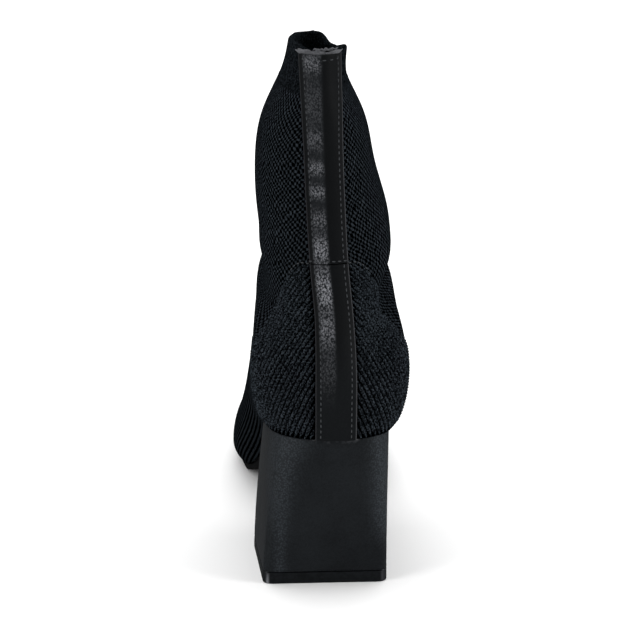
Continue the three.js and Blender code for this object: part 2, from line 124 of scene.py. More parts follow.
# Leg: front, front instep and shaft shares, rear, rear instep and shaft shares,
# lateral, medial, front shift, rear shift, wide, crown, belly
LEG = [
    (0.42, 1.2, 0, 0.013, -0.06, 0, 0.6, 0.59, 0.02, 0.02, 0.65, 2, 2.25),
    (0.415, 1.31, 0, 0, 0.27, 0, 0.605, 0.535, 0.02, 0.02, 0.63, 2, 2.2),
    (0.413, 1.4, 0.01, 0.008, 0.6, 0, 0.5, 0.375, 0.015, 0.015, 0.58, 2, 2.1),
    (0.412, 1.4, 0.09, 0.028, 1, 0, 0.505, 0.47, 0.01, 0, 0.53, 2, 2),
    (0.412, 1.4, 0.18, 0.042, 1, 0.22, 0.525, 0.465, 0, -0.03, 0.5, 2, 2),
    (0.414, 1.4, 0.31, 0.04, 1, 0.43, 0.51, 0.4, -0.02, -0.05, 0.5, 1.95, 2.05),
    (0.42, 1.4, 0.45, 0.032, 1, 0.64, 0.44, 0.345, -0.035, -0.07, 0.5, 1.9, 2.15),
    (0.43, 1.4, 0.59, 0.022, 1, 0.83, 0.29, 0.22, -0.045, -0.085, 0.5, 1.9, 2.3),
    (0.44, 1.4, 0.69, 0.014, 1, 1, 0.215, 0.21, -0.055, -0.095, 0.5, 1.9, 2.5),
]
# Height over the seat, shift of the strip's middle
STRIP_MIDDLE = np.array([
    (-0.1, 0.025), (0.15, 0.025), (0.3, 0.015), (0.45, -0.02), (0.7, -0.06), (1.1, -0.1),
])


def steady_curve(rows, column):
    """A curve through a column of a table that never swings past its rows."""
    x, y = rows[:, 0], rows[:, column]
    gap = np.diff(x)
    slope = np.diff(y) / gap
    tangent = np.concatenate([slope[:1], np.zeros(len(x) - 2), slope[-1:]])
    for i in range(1, len(x) - 1):
        if slope[i - 1] * slope[i] > 0:
            before = 2 * gap[i] + gap[i - 1]
            after = gap[i] + 2 * gap[i - 1]
            tangent[i] = (before + after) / (before / slope[i - 1] + after / slope[i])

    def at(place):
        i = np.clip(np.searchsorted(x, place, side="right") - 1, 0, len(x) - 2)
        t = np.clip((place - x[i]) / gap[i], 0, 1)
        chord = y[i + 1] - y[i]
        leaving = tangent[i] * gap[i] - chord
        arriving = tangent[i + 1] * gap[i] - chord
        return y[i] + t * chord + t * (1 - t) * ((1 - t) * leaving - t * arriving)

    return at


def smooth_curve(values):
    """A curve through evenly numbered rows whose bend changes smoothly."""
    last = len(values) - 1
    bend = np.zeros_like(values)
    weight = np.zeros(last + 1)
    for i in range(1, last):
        pivot = 4 - weight[i - 1]
        weight[i] = 1 / pivot
        turn = 6 * (values[i + 1] - 2 * values[i] + values[i - 1])
        bend[i] = (turn - bend[i - 1]) / pivot
    for i in range(last - 1, 0, -1):
        bend[i] -= weight[i] * bend[i + 1]

    def at(t):
        i = np.clip(np.floor(t).astype(int), 0, last - 1)
        b = (t - i)[..., None]
        a = 1 - b
        curved = (a**3 - a) * bend[i] + (b**3 - b) * bend[i + 1]
        return a * values[i] + b * values[i + 1] + curved / 6

    return at


sole_rise = steady_curve(SOLE_LINE, 1)
sole_spring = steady_curve(SOLE_LINE, 2)
strip_shift = steady_curve(STRIP_MIDDLE, 1)


def sole_line(y):
    """Height of the sole's upper face, from a place along the boot."""
    at = np.clip((y - HOME[1]) / SHOE_LENGTH, 0, 1)
    rise = sole_rise(at) * (HEEL_HEIGHT - SOLE_THICKNESS)
    return SOLE_THICKNESS + rise + sole_spring(at) * TOE_SPRING


def section_rows():
    """Front point, rear point, half widths and squareness of each section."""
    rows = []
    for i, row in enumerate(FOOT + INSTEP):
        at, under, top, lateral, medial, shift, wide, crown, belly = row
        y, low = at * SHOE_LENGTH, under * SHOE_LENGTH
        base = sole_line(y + HOME[1]) if i < len(FOOT) else HEEL_HEIGHT
        drop = LAST_DROP if lateral > 0 else -top * INSTEP_HEIGHT
        x = shift * BALL_WIDTH
        rows.append([x, y, base + top * INSTEP_HEIGHT, x, low, sole_line(low + HOME[1]) - drop,
                     lateral * BALL_WIDTH, medial * BALL_WIDTH, wide, crown, belly])
    for front, fi, fs, rear, ri, rs, lateral, medial, front_x, rear_x, wide, crown, belly in LEG:
        rows.append([front_x * ANKLE_WIDTH, front * SHOE_LENGTH,
                     HEEL_HEIGHT + fi * INSTEP_HEIGHT + fs * SHAFT_HEIGHT,
                     rear_x * ANKLE_WIDTH, rear * SHOE_LENGTH,
                     HEEL_HEIGHT + ri * INSTEP_HEIGHT + rs * SHAFT_HEIGHT,
                     lateral * ANKLE_WIDTH, medial * ANKLE_WIDTH, wide, crown, belly])
    return np.array(rows, float)


SECTIONS = section_rows()
section_at = smooth_curve(SECTIONS)


# Soft folds of the knit, one row each: middle along the form and round it, half sizes the
# same way, lean round it per unit along it, and depth, where a trough is below zero
FOLDS = np.array([
    (0.985, 4.22, 0.05, 0.16, 0.0, -1.6 * MM),
    (0.995, 4.52, 0.035, 0.14, 0.0, 1.3 * MM),
    (0.97, 2.35, 0.04, 0.2, 0.0, -0.7 * MM),
    (0.72, 0.0, 0.012, 0.9, 0.0, -0.5 * MM),
    (0.655, 0.25, 0.014, 1.0, 0.012, -0.9 * MM),
    (0.615, -0.2, 0.013, 0.9, -0.01, 0.5 * MM),
    (0.762, 1.8, 0.014, 0.4, 0.0, 1.2 * MM),
    (0.76, 4.38, 0.014, 0.4, 0.0, 1.2 * MM),
    (0.676, 1.02, 0.022, 0.22, 0.0, 1.0 * MM),
    (0.657, 5.28, 0.022, 0.2, 0.0, 0.9 * MM),
    (0.664, 1.4, 0.026, 0.2, 0.0, -1.5 * MM),
    (0.647, 5.0, 0.026, 0.2, 0.0, -1.5 * MM),
    (0.99, 0.0, 0.05, 0.4, 0.0, -1.0 * MM),
    (0.99, 0.6, 0.05, 0.3, 0.0, 1.9 * MM),
    (0.99, 5.9, 0.05, 0.25, 0.0, 0.8 * MM),
    (0.36, 1.35, 0.02, 0.35, -0.05, -0.4 * MM),
    (0.33, -1.25, 0.02, 0.35, 0.05, -0.4 * MM),
])
NORMAL_STEP = 0.005
TURN_STEP = 0.03
BAND_SOFT = 0.004
# How much narrower the strip is at its top, and the heights between which it narrows
STRIP_TAPER = 0.1
TAPER_Z = (0.085, 0.125)
# Finding a place from behind: places tried first, rounds, longest steps along and round
REAR_PLACES = np.linspace(0.5, 1.06, 300)
FIND_ROUNDS = 12
LONGEST_ALONG = 0.05
LONGEST_TURN = 0.3


def soft_step(low, high, value):
    """Zero below the low value, one above the high one, smooth between."""
    t = np.clip((value - low) / (high - low), 0, 1)
    return t * t * (3 - 2 * t)


def unit(vectors):
    """Vectors made one long."""
    return vectors / np.linalg.norm(vectors, axis=-1, keepdims=True)


def flat_cross(a, b):
    """The area between vectors of two numbers."""
    return a[..., 0] * b[..., 1] - b[..., 0] * a[..., 1]


def run_of(points):
    """Distance from the first point, along a line of points or along each line of a grid."""
    step = np.linalg.norm(np.diff(points, axis=0), axis=-1)
    return np.concatenate([np.zeros_like(step[:1]), np.cumsum(step, axis=0)])


def form(along, turn):
    """A point of the upper's form: along from toe, 0, to collar, 1, and turn from its front."""
    along, turn = np.broadcast_arrays(np.asarray(along, float), np.asarray(turn, float))
    s = section_at(along * (len(SECTIONS) - 1))
    lateral, medial, wide, crown, belly = np.moveaxis(s[..., 6:], -1, 0)
    facing = np.cos(turn)
    power = 2 / np.where(facing >= 0, crown, belly)
    reach = np.abs(facing) ** power
    down = np.where(facing >= 0, wide * (1 - reach), wide + (1 - wide) * reach)
    point = s[..., 0:3] + (s[..., 3:6] - s[..., 0:3]) * down[..., None]
    half = np.where(np.sin(turn) >= 0, -lateral, medial)
    point[..., 0] += half * np.abs(np.sin(turn)) ** power
    return point + HOME


def form_slopes(along, turn):
    """A point of the form, and how it changes along the form and round it."""
    here = form(along, turn)
    by_along = (form(along + TINY, turn) - here) / TINY
    return here, by_along, (form(along, turn + TINY) - here) / TINY


def form_normal(along, turn):
    """The way out of the form, one long."""
    ahead = form(np.minimum(along + NORMAL_STEP, 1), turn)
    rise = ahead - form(np.maximum(along - NORMAL_STEP, 0), turn)
    across = form(along, turn + TURN_STEP) - form(along, turn - TURN_STEP)
    normal = np.cross(across, rise)
    return normal / np.maximum(np.linalg.norm(normal, axis=-1, keepdims=True), 1e-12)


def relief(along, turn):
    """How far the folds raise the knit."""
    total = np.zeros(np.broadcast(along, turn).shape)
    for middle, round_at, reach, width, lean, depth in FOLDS:
        swing = (turn - round_at - lean * (along - middle) / reach + math.pi) % (2 * math.pi)
        off = (swing - math.pi) / width
        total += depth * np.exp(-(off**2) - ((along - middle) / reach) ** 2)
    return total


def skin(along, turn, rise=0.0):
    """A point of the folded knit, moved out by a rise."""
    along, turn = np.broadcast_arrays(np.asarray(along, float), np.asarray(turn, float))
    step = BAND_STEP * soft_step(band_place - BAND_SOFT, band_place + BAND_SOFT, along)
    out = relief(along, turn) + rise - step
    return form(along, turn) + form_normal(along, turn) * out[..., None]


def last_place(start, end, holds, halvings=30):
    """The last place from a start to an end at which a test holds, for arrays of both."""
    near, far = np.array(start, float), np.array(end, float)
    for _ in range(halvings):
        middle = (near + far) / 2
        good = holds(middle)
        near, far = np.where(good, middle, near), np.where(good, far, middle)
    return near


def above_sole(point):
    """Whether a point is clear of the sole's upper face."""
    return point[..., 2] > sole_line(point[..., 1]) + TOUCH_GAP


LEG_START = (len(SECTIONS) - len(LEG)) / (len(SECTIONS) - 1)
COLLAR_Z = float(form(1.0, math.pi)[2])
band_place = float(last_place(
    LEG_START, 1.0, lambda a: form(a, math.pi)[..., 2] < COLLAR_Z - BAND_HEIGHT))


def foot_turn(along, side):
    """The turn at which the knit meets the sole, or half a turn where it stays above it."""
    quarter = np.full(np.shape(along), math.pi / 2)
    return last_place(
        quarter, 2 * quarter, lambda angle: above_sole(form(along, side * angle)))


def rear_place(x, z):
    """Where the form has that x and z, seen from behind."""
    x, z = np.broadcast_arrays(np.asarray(x, float), np.asarray(z, float))
    rear_line = form(REAR_PLACES, math.pi)[:, 2]
    good = np.diff(rear_line, prepend=rear_line[0] - 1) > 0
    along = np.interp(z, rear_line[good], REAR_PLACES[good])
    turn = np.full(x.shape, math.pi)
    for _ in range(FIND_ROUNDS):
        here, by_along, by_turn = (part[..., (0, 2)] for part in form_slopes(along, turn))
        miss = np.stack([x, z], -1) - here
        area = flat_cross(by_along, by_turn)
        area = np.where(np.abs(area) < 1e-9, 1e-9, area)
        step_along = flat_cross(miss, by_turn) / area
        step_turn = flat_cross(by_along, miss) / area
        along = along + np.clip(step_along, -LONGEST_ALONG, LONGEST_ALONG)
        turn = turn + np.clip(step_turn, -LONGEST_TURN, LONGEST_TURN)
    return along, turn


def strip_x(z, across):
    """The x of a place on the back strip: across from -1 to 1."""
    middle = ANKLE_WIDTH * strip_shift((z - HEEL_HEIGHT) / LEG_HEIGHT) + HOME[0]
    half = STRIP_WIDTH / 2 * (1 - STRIP_TAPER * soft_step(*TAPER_Z, z))
    return middle + across * half


# Meshes

def mesh_piece(name, points, faces, material, smooth=True, fields=None, edges=()):
    """A mesh object from points and faces or edges, with numbers or vectors on its points."""
    mesh = bpy.data.meshes.new(name)
    mesh.from_pydata([tuple(p) for p in points], edges, [tuple(f) for f in faces])
    for key, values in (fields or {}).items():
        values = np.asarray(values, np.float32)
        kind, part = ("FLOAT_VECTOR", "vector") if values.ndim == 2 else ("FLOAT", "value")
        mesh.attributes.new(key, kind, "POINT").data.foreach_set(part, values.ravel())
    mesh.polygons.foreach_set("use_smooth", [smooth] * len(mesh.polygons))
    mesh.validate()
    mesh.update()
    piece = bpy.data.objects.new(name, mesh)
    bpy.context.scene.collection.objects.link(piece)
    if material:
        mesh.materials.append(material)
    return piece


def grid_faces(rows, columns, base=0, closed=False, flip=False):
    """Faces between rows of points, each row one line of the grid."""
    faces = []
    for i in range(rows - 1):
        for j in range(columns if closed else columns - 1):
            a = base + i * columns + j
            b = base + i * columns + (j + 1) % columns
            face = (a, b, b + columns, a + columns)
            faces.append(face[::-1] if flip else face)
    return faces


def merged(piece, distance=0.02 * MM):
    """Joins points that lie on each other and turns the faces outwards."""
    built = bmesh.new()
    built.from_mesh(piece.data)
    bmesh.ops.remove_doubles(built, verts=built.verts, dist=distance)
    bmesh.ops.dissolve_degenerate(built, edges=built.edges, dist=distance / 4)
    bmesh.ops.recalc_face_normals(built, faces=built.faces)
    built.to_mesh(piece.data)
    built.free()
    return piece


def finish_piece(piece, slot, *nodes):
    """Hangs a finished piece on the boot, in place of solids where any are named."""
    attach(piece, "root")
    if nodes:
        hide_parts(*nodes)
    return piece


# Places on the knit

KNIT_RINGS = 262
KNIT_COLUMNS = 252
INSIDE_STEP = 3
RIM_STEPS = 6
# Points tried round a section, and points of a collar rib up its outside
ROUND_POINTS = 500
COLLAR_TURNS = 400
COLLAR_POINTS = 18
RIM_BACK = 0.01
TOE_WALL = 0.02
CLOSED_GAP = 0.02 * MM
# Where the collar's rim stands lower: turn, half width, drop along the form
RIM_DIPS = np.array([
    (0.0, 0.9, 0.004), (-1.05, 0.55, 0.02), (-2.0, 0.5, 0.007), (math.pi, 0.75, 0.0055),
])
SEAM_Z = HEEL_HEIGHT + SEAM_HEIGHT
PANEL_LOW = HEEL_HEIGHT + 0.3 * MM
PANEL_REACH = 78 * MM
PANEL_LOOP = 1.7 * MM
# The counter's seam: distance from the strip's edge, height
PANEL_TOP = np.array([
    (0.0, 0.143), (0.004, 0.1425), (0.009, 0.1395), (0.0135, 0.133), (0.017, 0.122),
    (0.021, 0.109), (0.029, 0.1), (0.046, 0.095), (0.078, 0.096),
])
# The counter's lower edge in front of the heel, the same way
PANEL_FOOT = np.array([(0.0, 0.0), (0.0405, 0.0), (0.041, 0.067), (0.078, 0.094)])
# Distance of the counter's places from the strip, less their place along the boot
PANEL_START = 39 * MM
SEAM_CORD = 0.5
# Degrees of the counter's ribs against the level, at the cross seam and at the heel
PANEL_STEEP = (46, 68)
PANEL_ROWS = 80
PANEL_STEP = 0.5 * MM
# Fewest of the heights tried that a rib covers, and how many are tried
PANEL_POINTS = 12
RIB_HEIGHTS = 400
# Thickness share at a rib's tips, swing of it with each loop, and how much of it is lost
# between two places ahead of the heel
RIB_TIP = 0.35
RIB_WAVE = 0.26
RIB_THIN = 0.8
RIB_FADE = (34 * MM, 50 * MM)
# Distances from the toe between which the foot's wales end: above, and low on the sides
FOOT_FADE = (88 * MM, 128 * MM)
LOW_FADE = (190 * MM, 215 * MM)
LOW_SHARE = (0.58, 0.7)


def even_turns(along, low, high, count):
    """Turns at even distances round each section, and those distances from its front."""
    turns = np.empty((len(along), count))
    arcs = np.empty((len(along), count))
    for i, place in enumerate(along):
        dense = np.linspace(low[i], high[i], ROUND_POINTS)
        run = run_of(form(place, dense))
        even = np.linspace(0, run[-1], count)
        turns[i] = np.interp(even, run, dense)
        arcs[i] = even - np.interp(0.0, dense, run)
    return turns, arcs


def dipped(along, turn):
    """Places lowered towards the rim where the collar sags."""
    drop = 0
    for middle, width, dip in RIM_DIPS:
        swing = (turn - middle + math.pi) % (2 * math.pi) - math.pi
        drop = drop + dip * np.exp(-((swing / width) ** 4))
    return along - drop * soft_step(0.94, 1.0, along)


def panel_top(away):
    """Height of the counter's seam at a distance from the strip."""
    return np.interp(away, PANEL_TOP[:, 0], PANEL_TOP[:, 1])


def panel_foot(away):
    """Height of the counter's lower edge at a distance from the strip."""
    return np.interp(away, PANEL_FOOT[:, 0], PANEL_FOOT[:, 1])


def knit_grid():
    """Rings from the toe to the collar, open along the sole."""
    fine = np.linspace(0, 1, 1200)
    run = run_of(form(fine[:, None], np.linspace(0, 2 * math.pi, 9)[:-1])).mean(1)
    along = np.interp(np.linspace(0, run[-1], KNIT_RINGS), run, fine)
    turns, arcs = even_turns(
        along, -foot_turn(along, -1), foot_turn(along, 1), KNIT_COLUMNS + 1)
    return along[:, None] + np.zeros_like(turns), turns, arcs


def knit_fields(along, turns, arcs):
    """Where each point is in the knit: wales round it, courses along it, and its zones."""
    place = form(along, turns)
    run = run_of(place)
    half = np.maximum(np.maximum(arcs[:, -1:], -arcs[:, :1]), MM)
    from_strip = half - np.abs(arcs) - STRIP_WIDTH / 2
    y, z = place[..., 1], place[..., 2]
    panel = soft_step(0, 2 * MM, panel_top(from_strip) - z)
    panel *= soft_step(-MM, MM, z - panel_foot(y + PANEL_START))
    panel *= 1 - soft_step(PANEL_REACH - 4 * MM, PANEL_REACH, y + PANEL_START)
    low = soft_step(*LOW_SHARE, np.abs(arcs) / half) * (1 - soft_step(*LOW_FADE, run))
    foot = np.maximum(1 - soft_step(*FOOT_FADE, run), low)
    band = soft_step(band_place - 0.001, band_place + 0.003, along)
    side = np.exp(-(((np.abs(arcs) / half - 0.5) / 0.2) ** 2))
    return {
        "wale": arcs.ravel(),
        "leg_course": (run[-1:] - run).ravel(),
        "foot_course": run.ravel(),
        "panel_zone": panel.ravel(),
        "foot_zone": foot.ravel(),
        "band_zone": band.ravel(),
        "side_zone": side.ravel(),
    }


def rim_arc(edge, turns):
    """Rows of points over the collar's rim, from its outer face to its inner one."""
    up = unit(skin(edge, turns) - skin(edge - RIM_BACK, turns))
    half, rows = UPPER_WALL / 2, []
    for k in range(1, RIM_STEPS):
        angle = math.pi * k / RIM_STEPS
        row = skin(edge, turns, half * (math.cos(angle) - 1))
        rows.append(row + up * (half * math.sin(angle)))
    return rows


def knit_shell(material):
    """The upper's outer face, its rolled rim and its inner face, as one wall."""
    along, turns, arcs = knit_grid()
    fields = knit_fields(along, turns, arcs)
    rings, columns = turns.shape
    outer = skin(dipped(along, turns), turns)
    rim = rim_arc(dipped(along[-1], turns[-1]), turns[-1])
    inner_columns = np.arange(0, columns, INSIDE_STEP)
    inner = len(inner_columns)
    inside = skin(dipped(TOE_WALL + (1 - TOE_WALL) * along, turns), turns, -UPPER_WALL)
    inside = inside[:, inner_columns]
    toe_middle = inside[:1].mean(1)
    points = np.concatenate([outer.reshape(-1, 3), *rim, inside.reshape(-1, 3), toe_middle])
    faces = grid_faces(rings + RIM_STEPS - 1, columns)
    first_in = (rings + RIM_STEPS - 1) * columns
    faces += grid_faces(rings, inner, first_in, flip=True)
    last_out = (rings + RIM_STEPS - 2) * columns
    last_in = first_in + (rings - 1) * inner
    # From the rim to the inner face, which has fewer columns
    for k in range(inner - 1):
        corner = [last_out + inner_columns[k] + m for m in range(INSIDE_STEP + 1)]
        faces.append((*corner, last_in + k + 1, last_in + k))
    # Over the toe, inside
    toe_ring = [0, *range(first_in + inner - 1, first_in - 1, -1)]
    for k, place in enumerate(toe_ring):
        faces.append((len(points) - 1, toe_ring[k - 1], place))
    # Along both edges of the opening over the sole
    gap = np.linalg.norm(outer[:, 0] - outer[:, -1], axis=1)
    for i in range(rings - 1):
        if max(gap[i], gap[i + 1]) < CLOSED_GAP:
            continue
        a, b = i * columns, (i + 1) * columns
        c, d = first_in + i * inner, first_in + (i + 1) * inner
        faces.append((a, b, d, c))
        faces.append((b + columns - 1, a + columns - 1, c + inner - 1, d + inner - 1))
    picked = {}
    for key, values in fields.items():
        grid = values.reshape(rings, columns)
        picked[key] = np.concatenate([
            grid.ravel(), np.tile(grid[-1], RIM_STEPS - 1), grid[:, inner_columns].ravel(),
            grid[0, :1]])
    return merged(mesh_piece("knit_upper", points, faces, material, fields=picked))


def collar_rails(pitch):
    """Lines of the ribbed band: up its outside, over the rim and down its inside."""
    outside = np.linspace(band_place + 0.001, 1, COLLAR_POINTS)
    whole = np.full(len(outside), math.pi)
    turns, arcs = even_turns(outside, -whole, whole, COLLAR_TURNS)
    count = int(round((arcs[-1, -1] - arcs[-1, 0]) / pitch))
    shares = np.linspace(0, 1, COLLAR_TURNS)
    lines = []
    for part in (np.arange(count) + 0.5) / count:
        turn = np.array([np.interp(part, shares, row) for row in turns])
        along = dipped(outside, turn)
        over = rim_arc(along[-1:], turn[-1:])
        down = skin(along[::-2], turn[::-2], -UPPER_WALL)
        lines.append(np.concatenate([skin(along, turn), *over, down]))
    return lines


def panel_table(side):
    """Places on the counter by height and by distance from the strip's edge."""
    heights = np.linspace(PANEL_LOW, SEAM_Z, PANEL_ROWS)
    along, turn = rear_place(strip_x(heights, -side), heights)
    places = [(along, turn)]
    for _ in range(int(PANEL_REACH / PANEL_STEP)):
        here, by_along, by_turn = form_slopes(along, turn)
        level = unit(np.cross([0, 0, 1.0], np.cross(by_turn, by_along)))
        level *= -side * np.sign((level * by_turn).sum(1, keepdims=True))
        way = PANEL_STEP * level
        way[:, 2] += heights - here[:, 2]
        aa, tt = (by_along**2).sum(1), (by_turn**2).sum(1)
        at = (by_along * by_turn).sum(1)
        wa, wt = (by_along * way).sum(1), (by_turn * way).sum(1)
        det = aa * tt - at * at
        along = along + (wa * tt - wt * at) / det
        turn = turn + (wt * aa - wa * at) / det
        places.append((along, turn))
    table = np.array(places)
    return heights, np.arange(len(places)) * PANEL_STEP, table[:, 0], table[:, 1]


def panel_places(side):
    """A finder of the form's places by height and by distance from the strip's edge."""
    heights, away, along_table, turn_table = panel_table(side)

    def find(z, d):
        row = (z - heights[0]) / (heights[1] - heights[0])
        column = d / (away[1] - away[0])
        i = np.clip(row.astype(int), 0, len(heights) - 2)
        j = np.clip(column.astype(int), 0, len(away) - 2)
        u, v = row - i, column - j
        found = []
        for table in (along_table, turn_table):
            low = table[j, i] * (1 - u) + table[j, i + 1] * u
            high = table[j + 1, i] * (1 - u) + table[j + 1, i + 1] * u
            found.append(low * (1 - v) + high * v)
        return found

    return find


def panel_rails(side, pitch, loop):
    """Ribs of the counter, fanning down and out from the lower strip."""
    find = panel_places(side)
    fine = np.linspace(SEAM_Z, PANEL_LOW, RIB_HEIGHTS)
    first, last = PANEL_STEEP
    steep = np.radians(first + (last - first) * soft_step(SEAM_Z, PANEL_LOW, fine))
    drift = np.concatenate([[0], np.cumsum(np.abs(np.diff(fine)) / np.tan(steep[1:]))])
    lines, weights = [], []
    for k in range(-int(drift[-1] / pitch), int(PANEL_REACH / pitch)):
        d = k * pitch + drift
        keep = (d > 0.2 * MM) & (d < PANEL_REACH) & (fine < panel_top(d) - 0.4 * MM)
        keep &= fine > panel_foot(d)
        if keep.sum() < PANEL_POINTS:
            continue
        z, d = fine[keep], d[keep]
        run = run_of(np.column_stack([z, d]))
        even = np.arange(0, run[-1], loop / 3)
        z, d = np.interp(even, run, z), np.interp(even, run, d)
        along, turn = find(z, d)
        line = skin(along, turn)
        ends = np.minimum(even, even[-1] - even)
        weight = RIB_TIP + (1 - RIB_TIP) * soft_step(0, 4 * MM, ends)
        weight *= 1 - RIB_THIN * soft_step(*RIB_FADE, line[:, 1])
        weight *= 1 + RIB_WAVE * np.cos(2 * math.pi * even / loop + 2.1 * k)
        lines.append(line)
        weights.append(weight)
    d = np.linspace(PANEL_FOOT[-2, 0], PANEL_REACH, 60)
    lines.append(skin(*find(panel_foot(d) + 0.5 * MM, d), 0.3 * MM))
    weights.append(np.full(len(d), SEAM_CORD))
    return lines, weights


# Materials

class Wire:
    """A socket of a node tree; arithmetic on it adds math nodes."""

    def __init__(self, tree, socket):
        self.tree, self.socket = tree, socket

    def node(self, kind, output=0, inputs=None, **settings):
        """Adds any node: its type, settings, and inputs by name or number."""
        return add_node(self.tree, kind, output, inputs, **settings)

    def math(self, operation, *others):
        """Adds a math node with this as its first input."""
        inputs = dict(enumerate((self, *others)))
        return self.node("ShaderNodeMath", 0, inputs, operation=operation)

    def __add__(self, other):
        return self.math("ADD", other)

    __radd__ = __add__

    def __sub__(self, other):
        return self.math("SUBTRACT", other)

    def __rsub__(self, other):
        return self.node("ShaderNodeMath", 0, {0: other, 1: self}, operation="SUBTRACT")

    def __mul__(self, other):
        return self.math("MULTIPLY", other)

    __rmul__ = __mul__

    def __truediv__(self, other):
        return self.math("DIVIDE", other)

    def cosine(self):
        return self.math("COSINE")

    def power(self, exponent):
        return self.math("POWER", exponent)

    def clamped(self):
        return self.node("ShaderNodeClamp", 0, {0: self})

    def step(self, low, high):
        """Zero below the low value, one above the high one, smooth between."""
        return self.node("ShaderNodeMapRange", 0, {0: self, 1: low, 2: high},
                         interpolation_type="SMOOTHSTEP")

    def blend(self, first, second):
        """From the first number to the second as this goes from 0 to 1."""
        return self.node("ShaderNodeMix", 0, {0: self, 2: first, 3: second}, data_type="FLOAT")

    def tint(self, first, second):
        """From the first colour to the second as this goes from 0 to 1."""
        return self.node("ShaderNodeMix", 2, {0: self, 6: first, 7: second}, data_type="RGBA")

    def shades(self, colour, dark, light):
        """From a dark to a light shade of a colour as this goes from 0 to 1."""
        return self.tint(shade(colour, dark), shade(colour, light))

    def scaled(self, factors):
        """A vector times one factor for each axis."""
        return self.node("ShaderNodeVectorMath", 0, {0: self, 1: factors}, operation="MULTIPLY")


def feed(tree, socket, value):
    """Gives a socket a wire or a plain value."""
    if isinstance(value, Wire):
        tree.links.new(value.socket, socket)
    else:
        socket.default_value = value


def add_node(tree, kind, output=0, inputs=None, **settings):
    """Adds any node to a tree and gives back one of its outputs."""
    made = tree.nodes.new(kind)
    for key, value in settings.items():
        setattr(made, key, value)
    for key, value in (inputs or {}).items():
        feed(tree, made.inputs[key], value)
    return Wire(tree, made.outputs[output])


class Paint:
    """A material under way: its tree, its shader, and the places it is painted by."""

    def __init__(self, name, colour, roughness, gloss=0.5):
        self.material = bpy.data.materials.new(name)
        self.material.use_nodes = True
        self.tree = self.material.node_tree
        self.shader = self.tree.nodes["Principled BSDF"]
        self.material.diffuse_color = (*colour, 1)
        self.put("Base Color", (*colour, 1))
        self.put("Roughness", roughness)
        self.put("Specular IOR Level", gloss)
        self.place = add_node(self.tree, "ShaderNodeTexCoord", "Object")

    def put(self, name, value):
        """Gives the shader a wire or a plain value."""
        feed(self.tree, self.shader.inputs[name], value)

    def field(self, name):
        """A number that the mesh carries on its points."""
        return add_node(self.tree, "ShaderNodeAttribute", "Fac", attribute_name=name)

    def noise(self, scale, detail):
        """Soft noise from 0 to 1."""
        return add_node(self.tree, "ShaderNodeTexNoise", 0, {
            "Vector": self.place, "Scale": scale, "Detail": detail})

    def cells(self, scale, smoothness, place=None):
        """Pebbles: 0 in the middle of each, higher between them."""
        return add_node(self.tree, "ShaderNodeTexVoronoi", 0, {
            "Vector": place or self.place, "Scale": scale, "Smoothness": smoothness,
        }, feature="SMOOTH_F1")

    def bump(self, height, distance):
        """Raises the surface by a wire of heights."""
        self.put("Normal", add_node(self.tree, "ShaderNodeBump", 0, {
            "Height": height, "Distance": distance, "Strength": 1.0}))


KNIT_GLOSS = 0.0
LEATHER_GLOSS = 0.07
# Painted highlight on the knit's loops: the lightest yarn, times the knit's colour
KNIT_HIGHLIGHT = 4.3
# Features to the metre: of the loops' wander and drift, of the yarn's mottle, fuzz and fibre
WANDER_SCALE = 260
DRIFT_SCALE = 70
MOTTLE_SCALE = 900
FUZZ_SCALE = 2600
FIBRE_SCALE = 1300
FIBRE_DEPTH = 0.35 * MM
# The same, of the strips' pebbles, of the heel's cover, clouds and the breaks in its painted edge
# glints, and of rubber
PEBBLE_SCALES = (1350, 2900)
COVER_SCALE = 1300
CLOUD_SCALE = 38
EDGE_GLINT_SCALE = 420
RUBBER_SCALE = 700
# Ribs: sides, then the painted shade and painted highlight of the yarn, darkest and lightest, times
# the knit's colour
COLLAR_RIB = (6, 0.2, 2.3)
COUNTER_RIB = (7, 0.25, 6.0)


def shade(colour, factor):
    """A colour made lighter or darker, with its alpha."""
    return (*[min(1.0, c * factor) for c in colour], 1)


def knit_paint(look):
    """Loops of the knit: staggered on the leg, in wales along the foot, with painted highlight and
    shade.
    """
    paint = Paint("knit", look.colour, 0.9, gloss=KNIT_GLOSS)
    wander = (paint.noise(WANDER_SCALE, 1) - 0.5) * look.loop_width * 1.1
    drift = (paint.noise(DRIFT_SCALE, 1) - 0.5) * look.loop_width * 1.2
    wale = paint.field("wale") + wander
    course = paint.field("leg_course") + wander + drift
    length = paint.field("foot_course") - wander
    across, along = 2 * math.pi / look.loop_width, 2 * math.pi / look.loop_height
    lattice = (wale * across).cosine() * (course * along + wale * across * 0.15).cosine()
    leg = (lattice * 0.5 + 0.5).step(0.35, 0.75)
    calm = paint.field("wale") + wander * 0.25
    ridge = ((calm * across).cosine() * 0.5 + 0.5).step(0.25, 0.8)
    eyelet = ((length * (along * 1.1)).cosine() * 0.5 + 0.5).power(2)
    vamp = ridge * (0.48 - eyelet * 0.16)
    foot, zone, band, side = [
        paint.field(part + "_zone") for part in ("foot", "panel", "band", "side")]
    # Painted shade: under the counter's ribs the knit is left at its darkest, as shade between the
    # ribs
    loops = foot.blend(leg, vamp) * (1 - zone)
    loops = loops * (1 - side * (1 - foot) * 0.3)
    rib = (wale * (2 * math.pi / look.rib_pitch)).cosine() * 0.5 + 0.5
    loops = band.blend(loops, rib * 0.3)
    mottle = paint.noise(MOTTLE_SCALE, 2).step(0.35, 0.7)
    # Painted highlight on the loops and painted shade in the gaps between them, with a random
    # mottle
    light = loops * (0.45 + mottle * 0.55)
    paint.put("Base Color", light.shades(look.colour, 0.0, KNIT_HIGHLIGHT))
    paint.put("Roughness", loops.blend(1.0, 0.8))
    paint.bump(loops + paint.noise(FUZZ_SCALE, 2) * 0.2, look.loop_depth)
    return paint.material


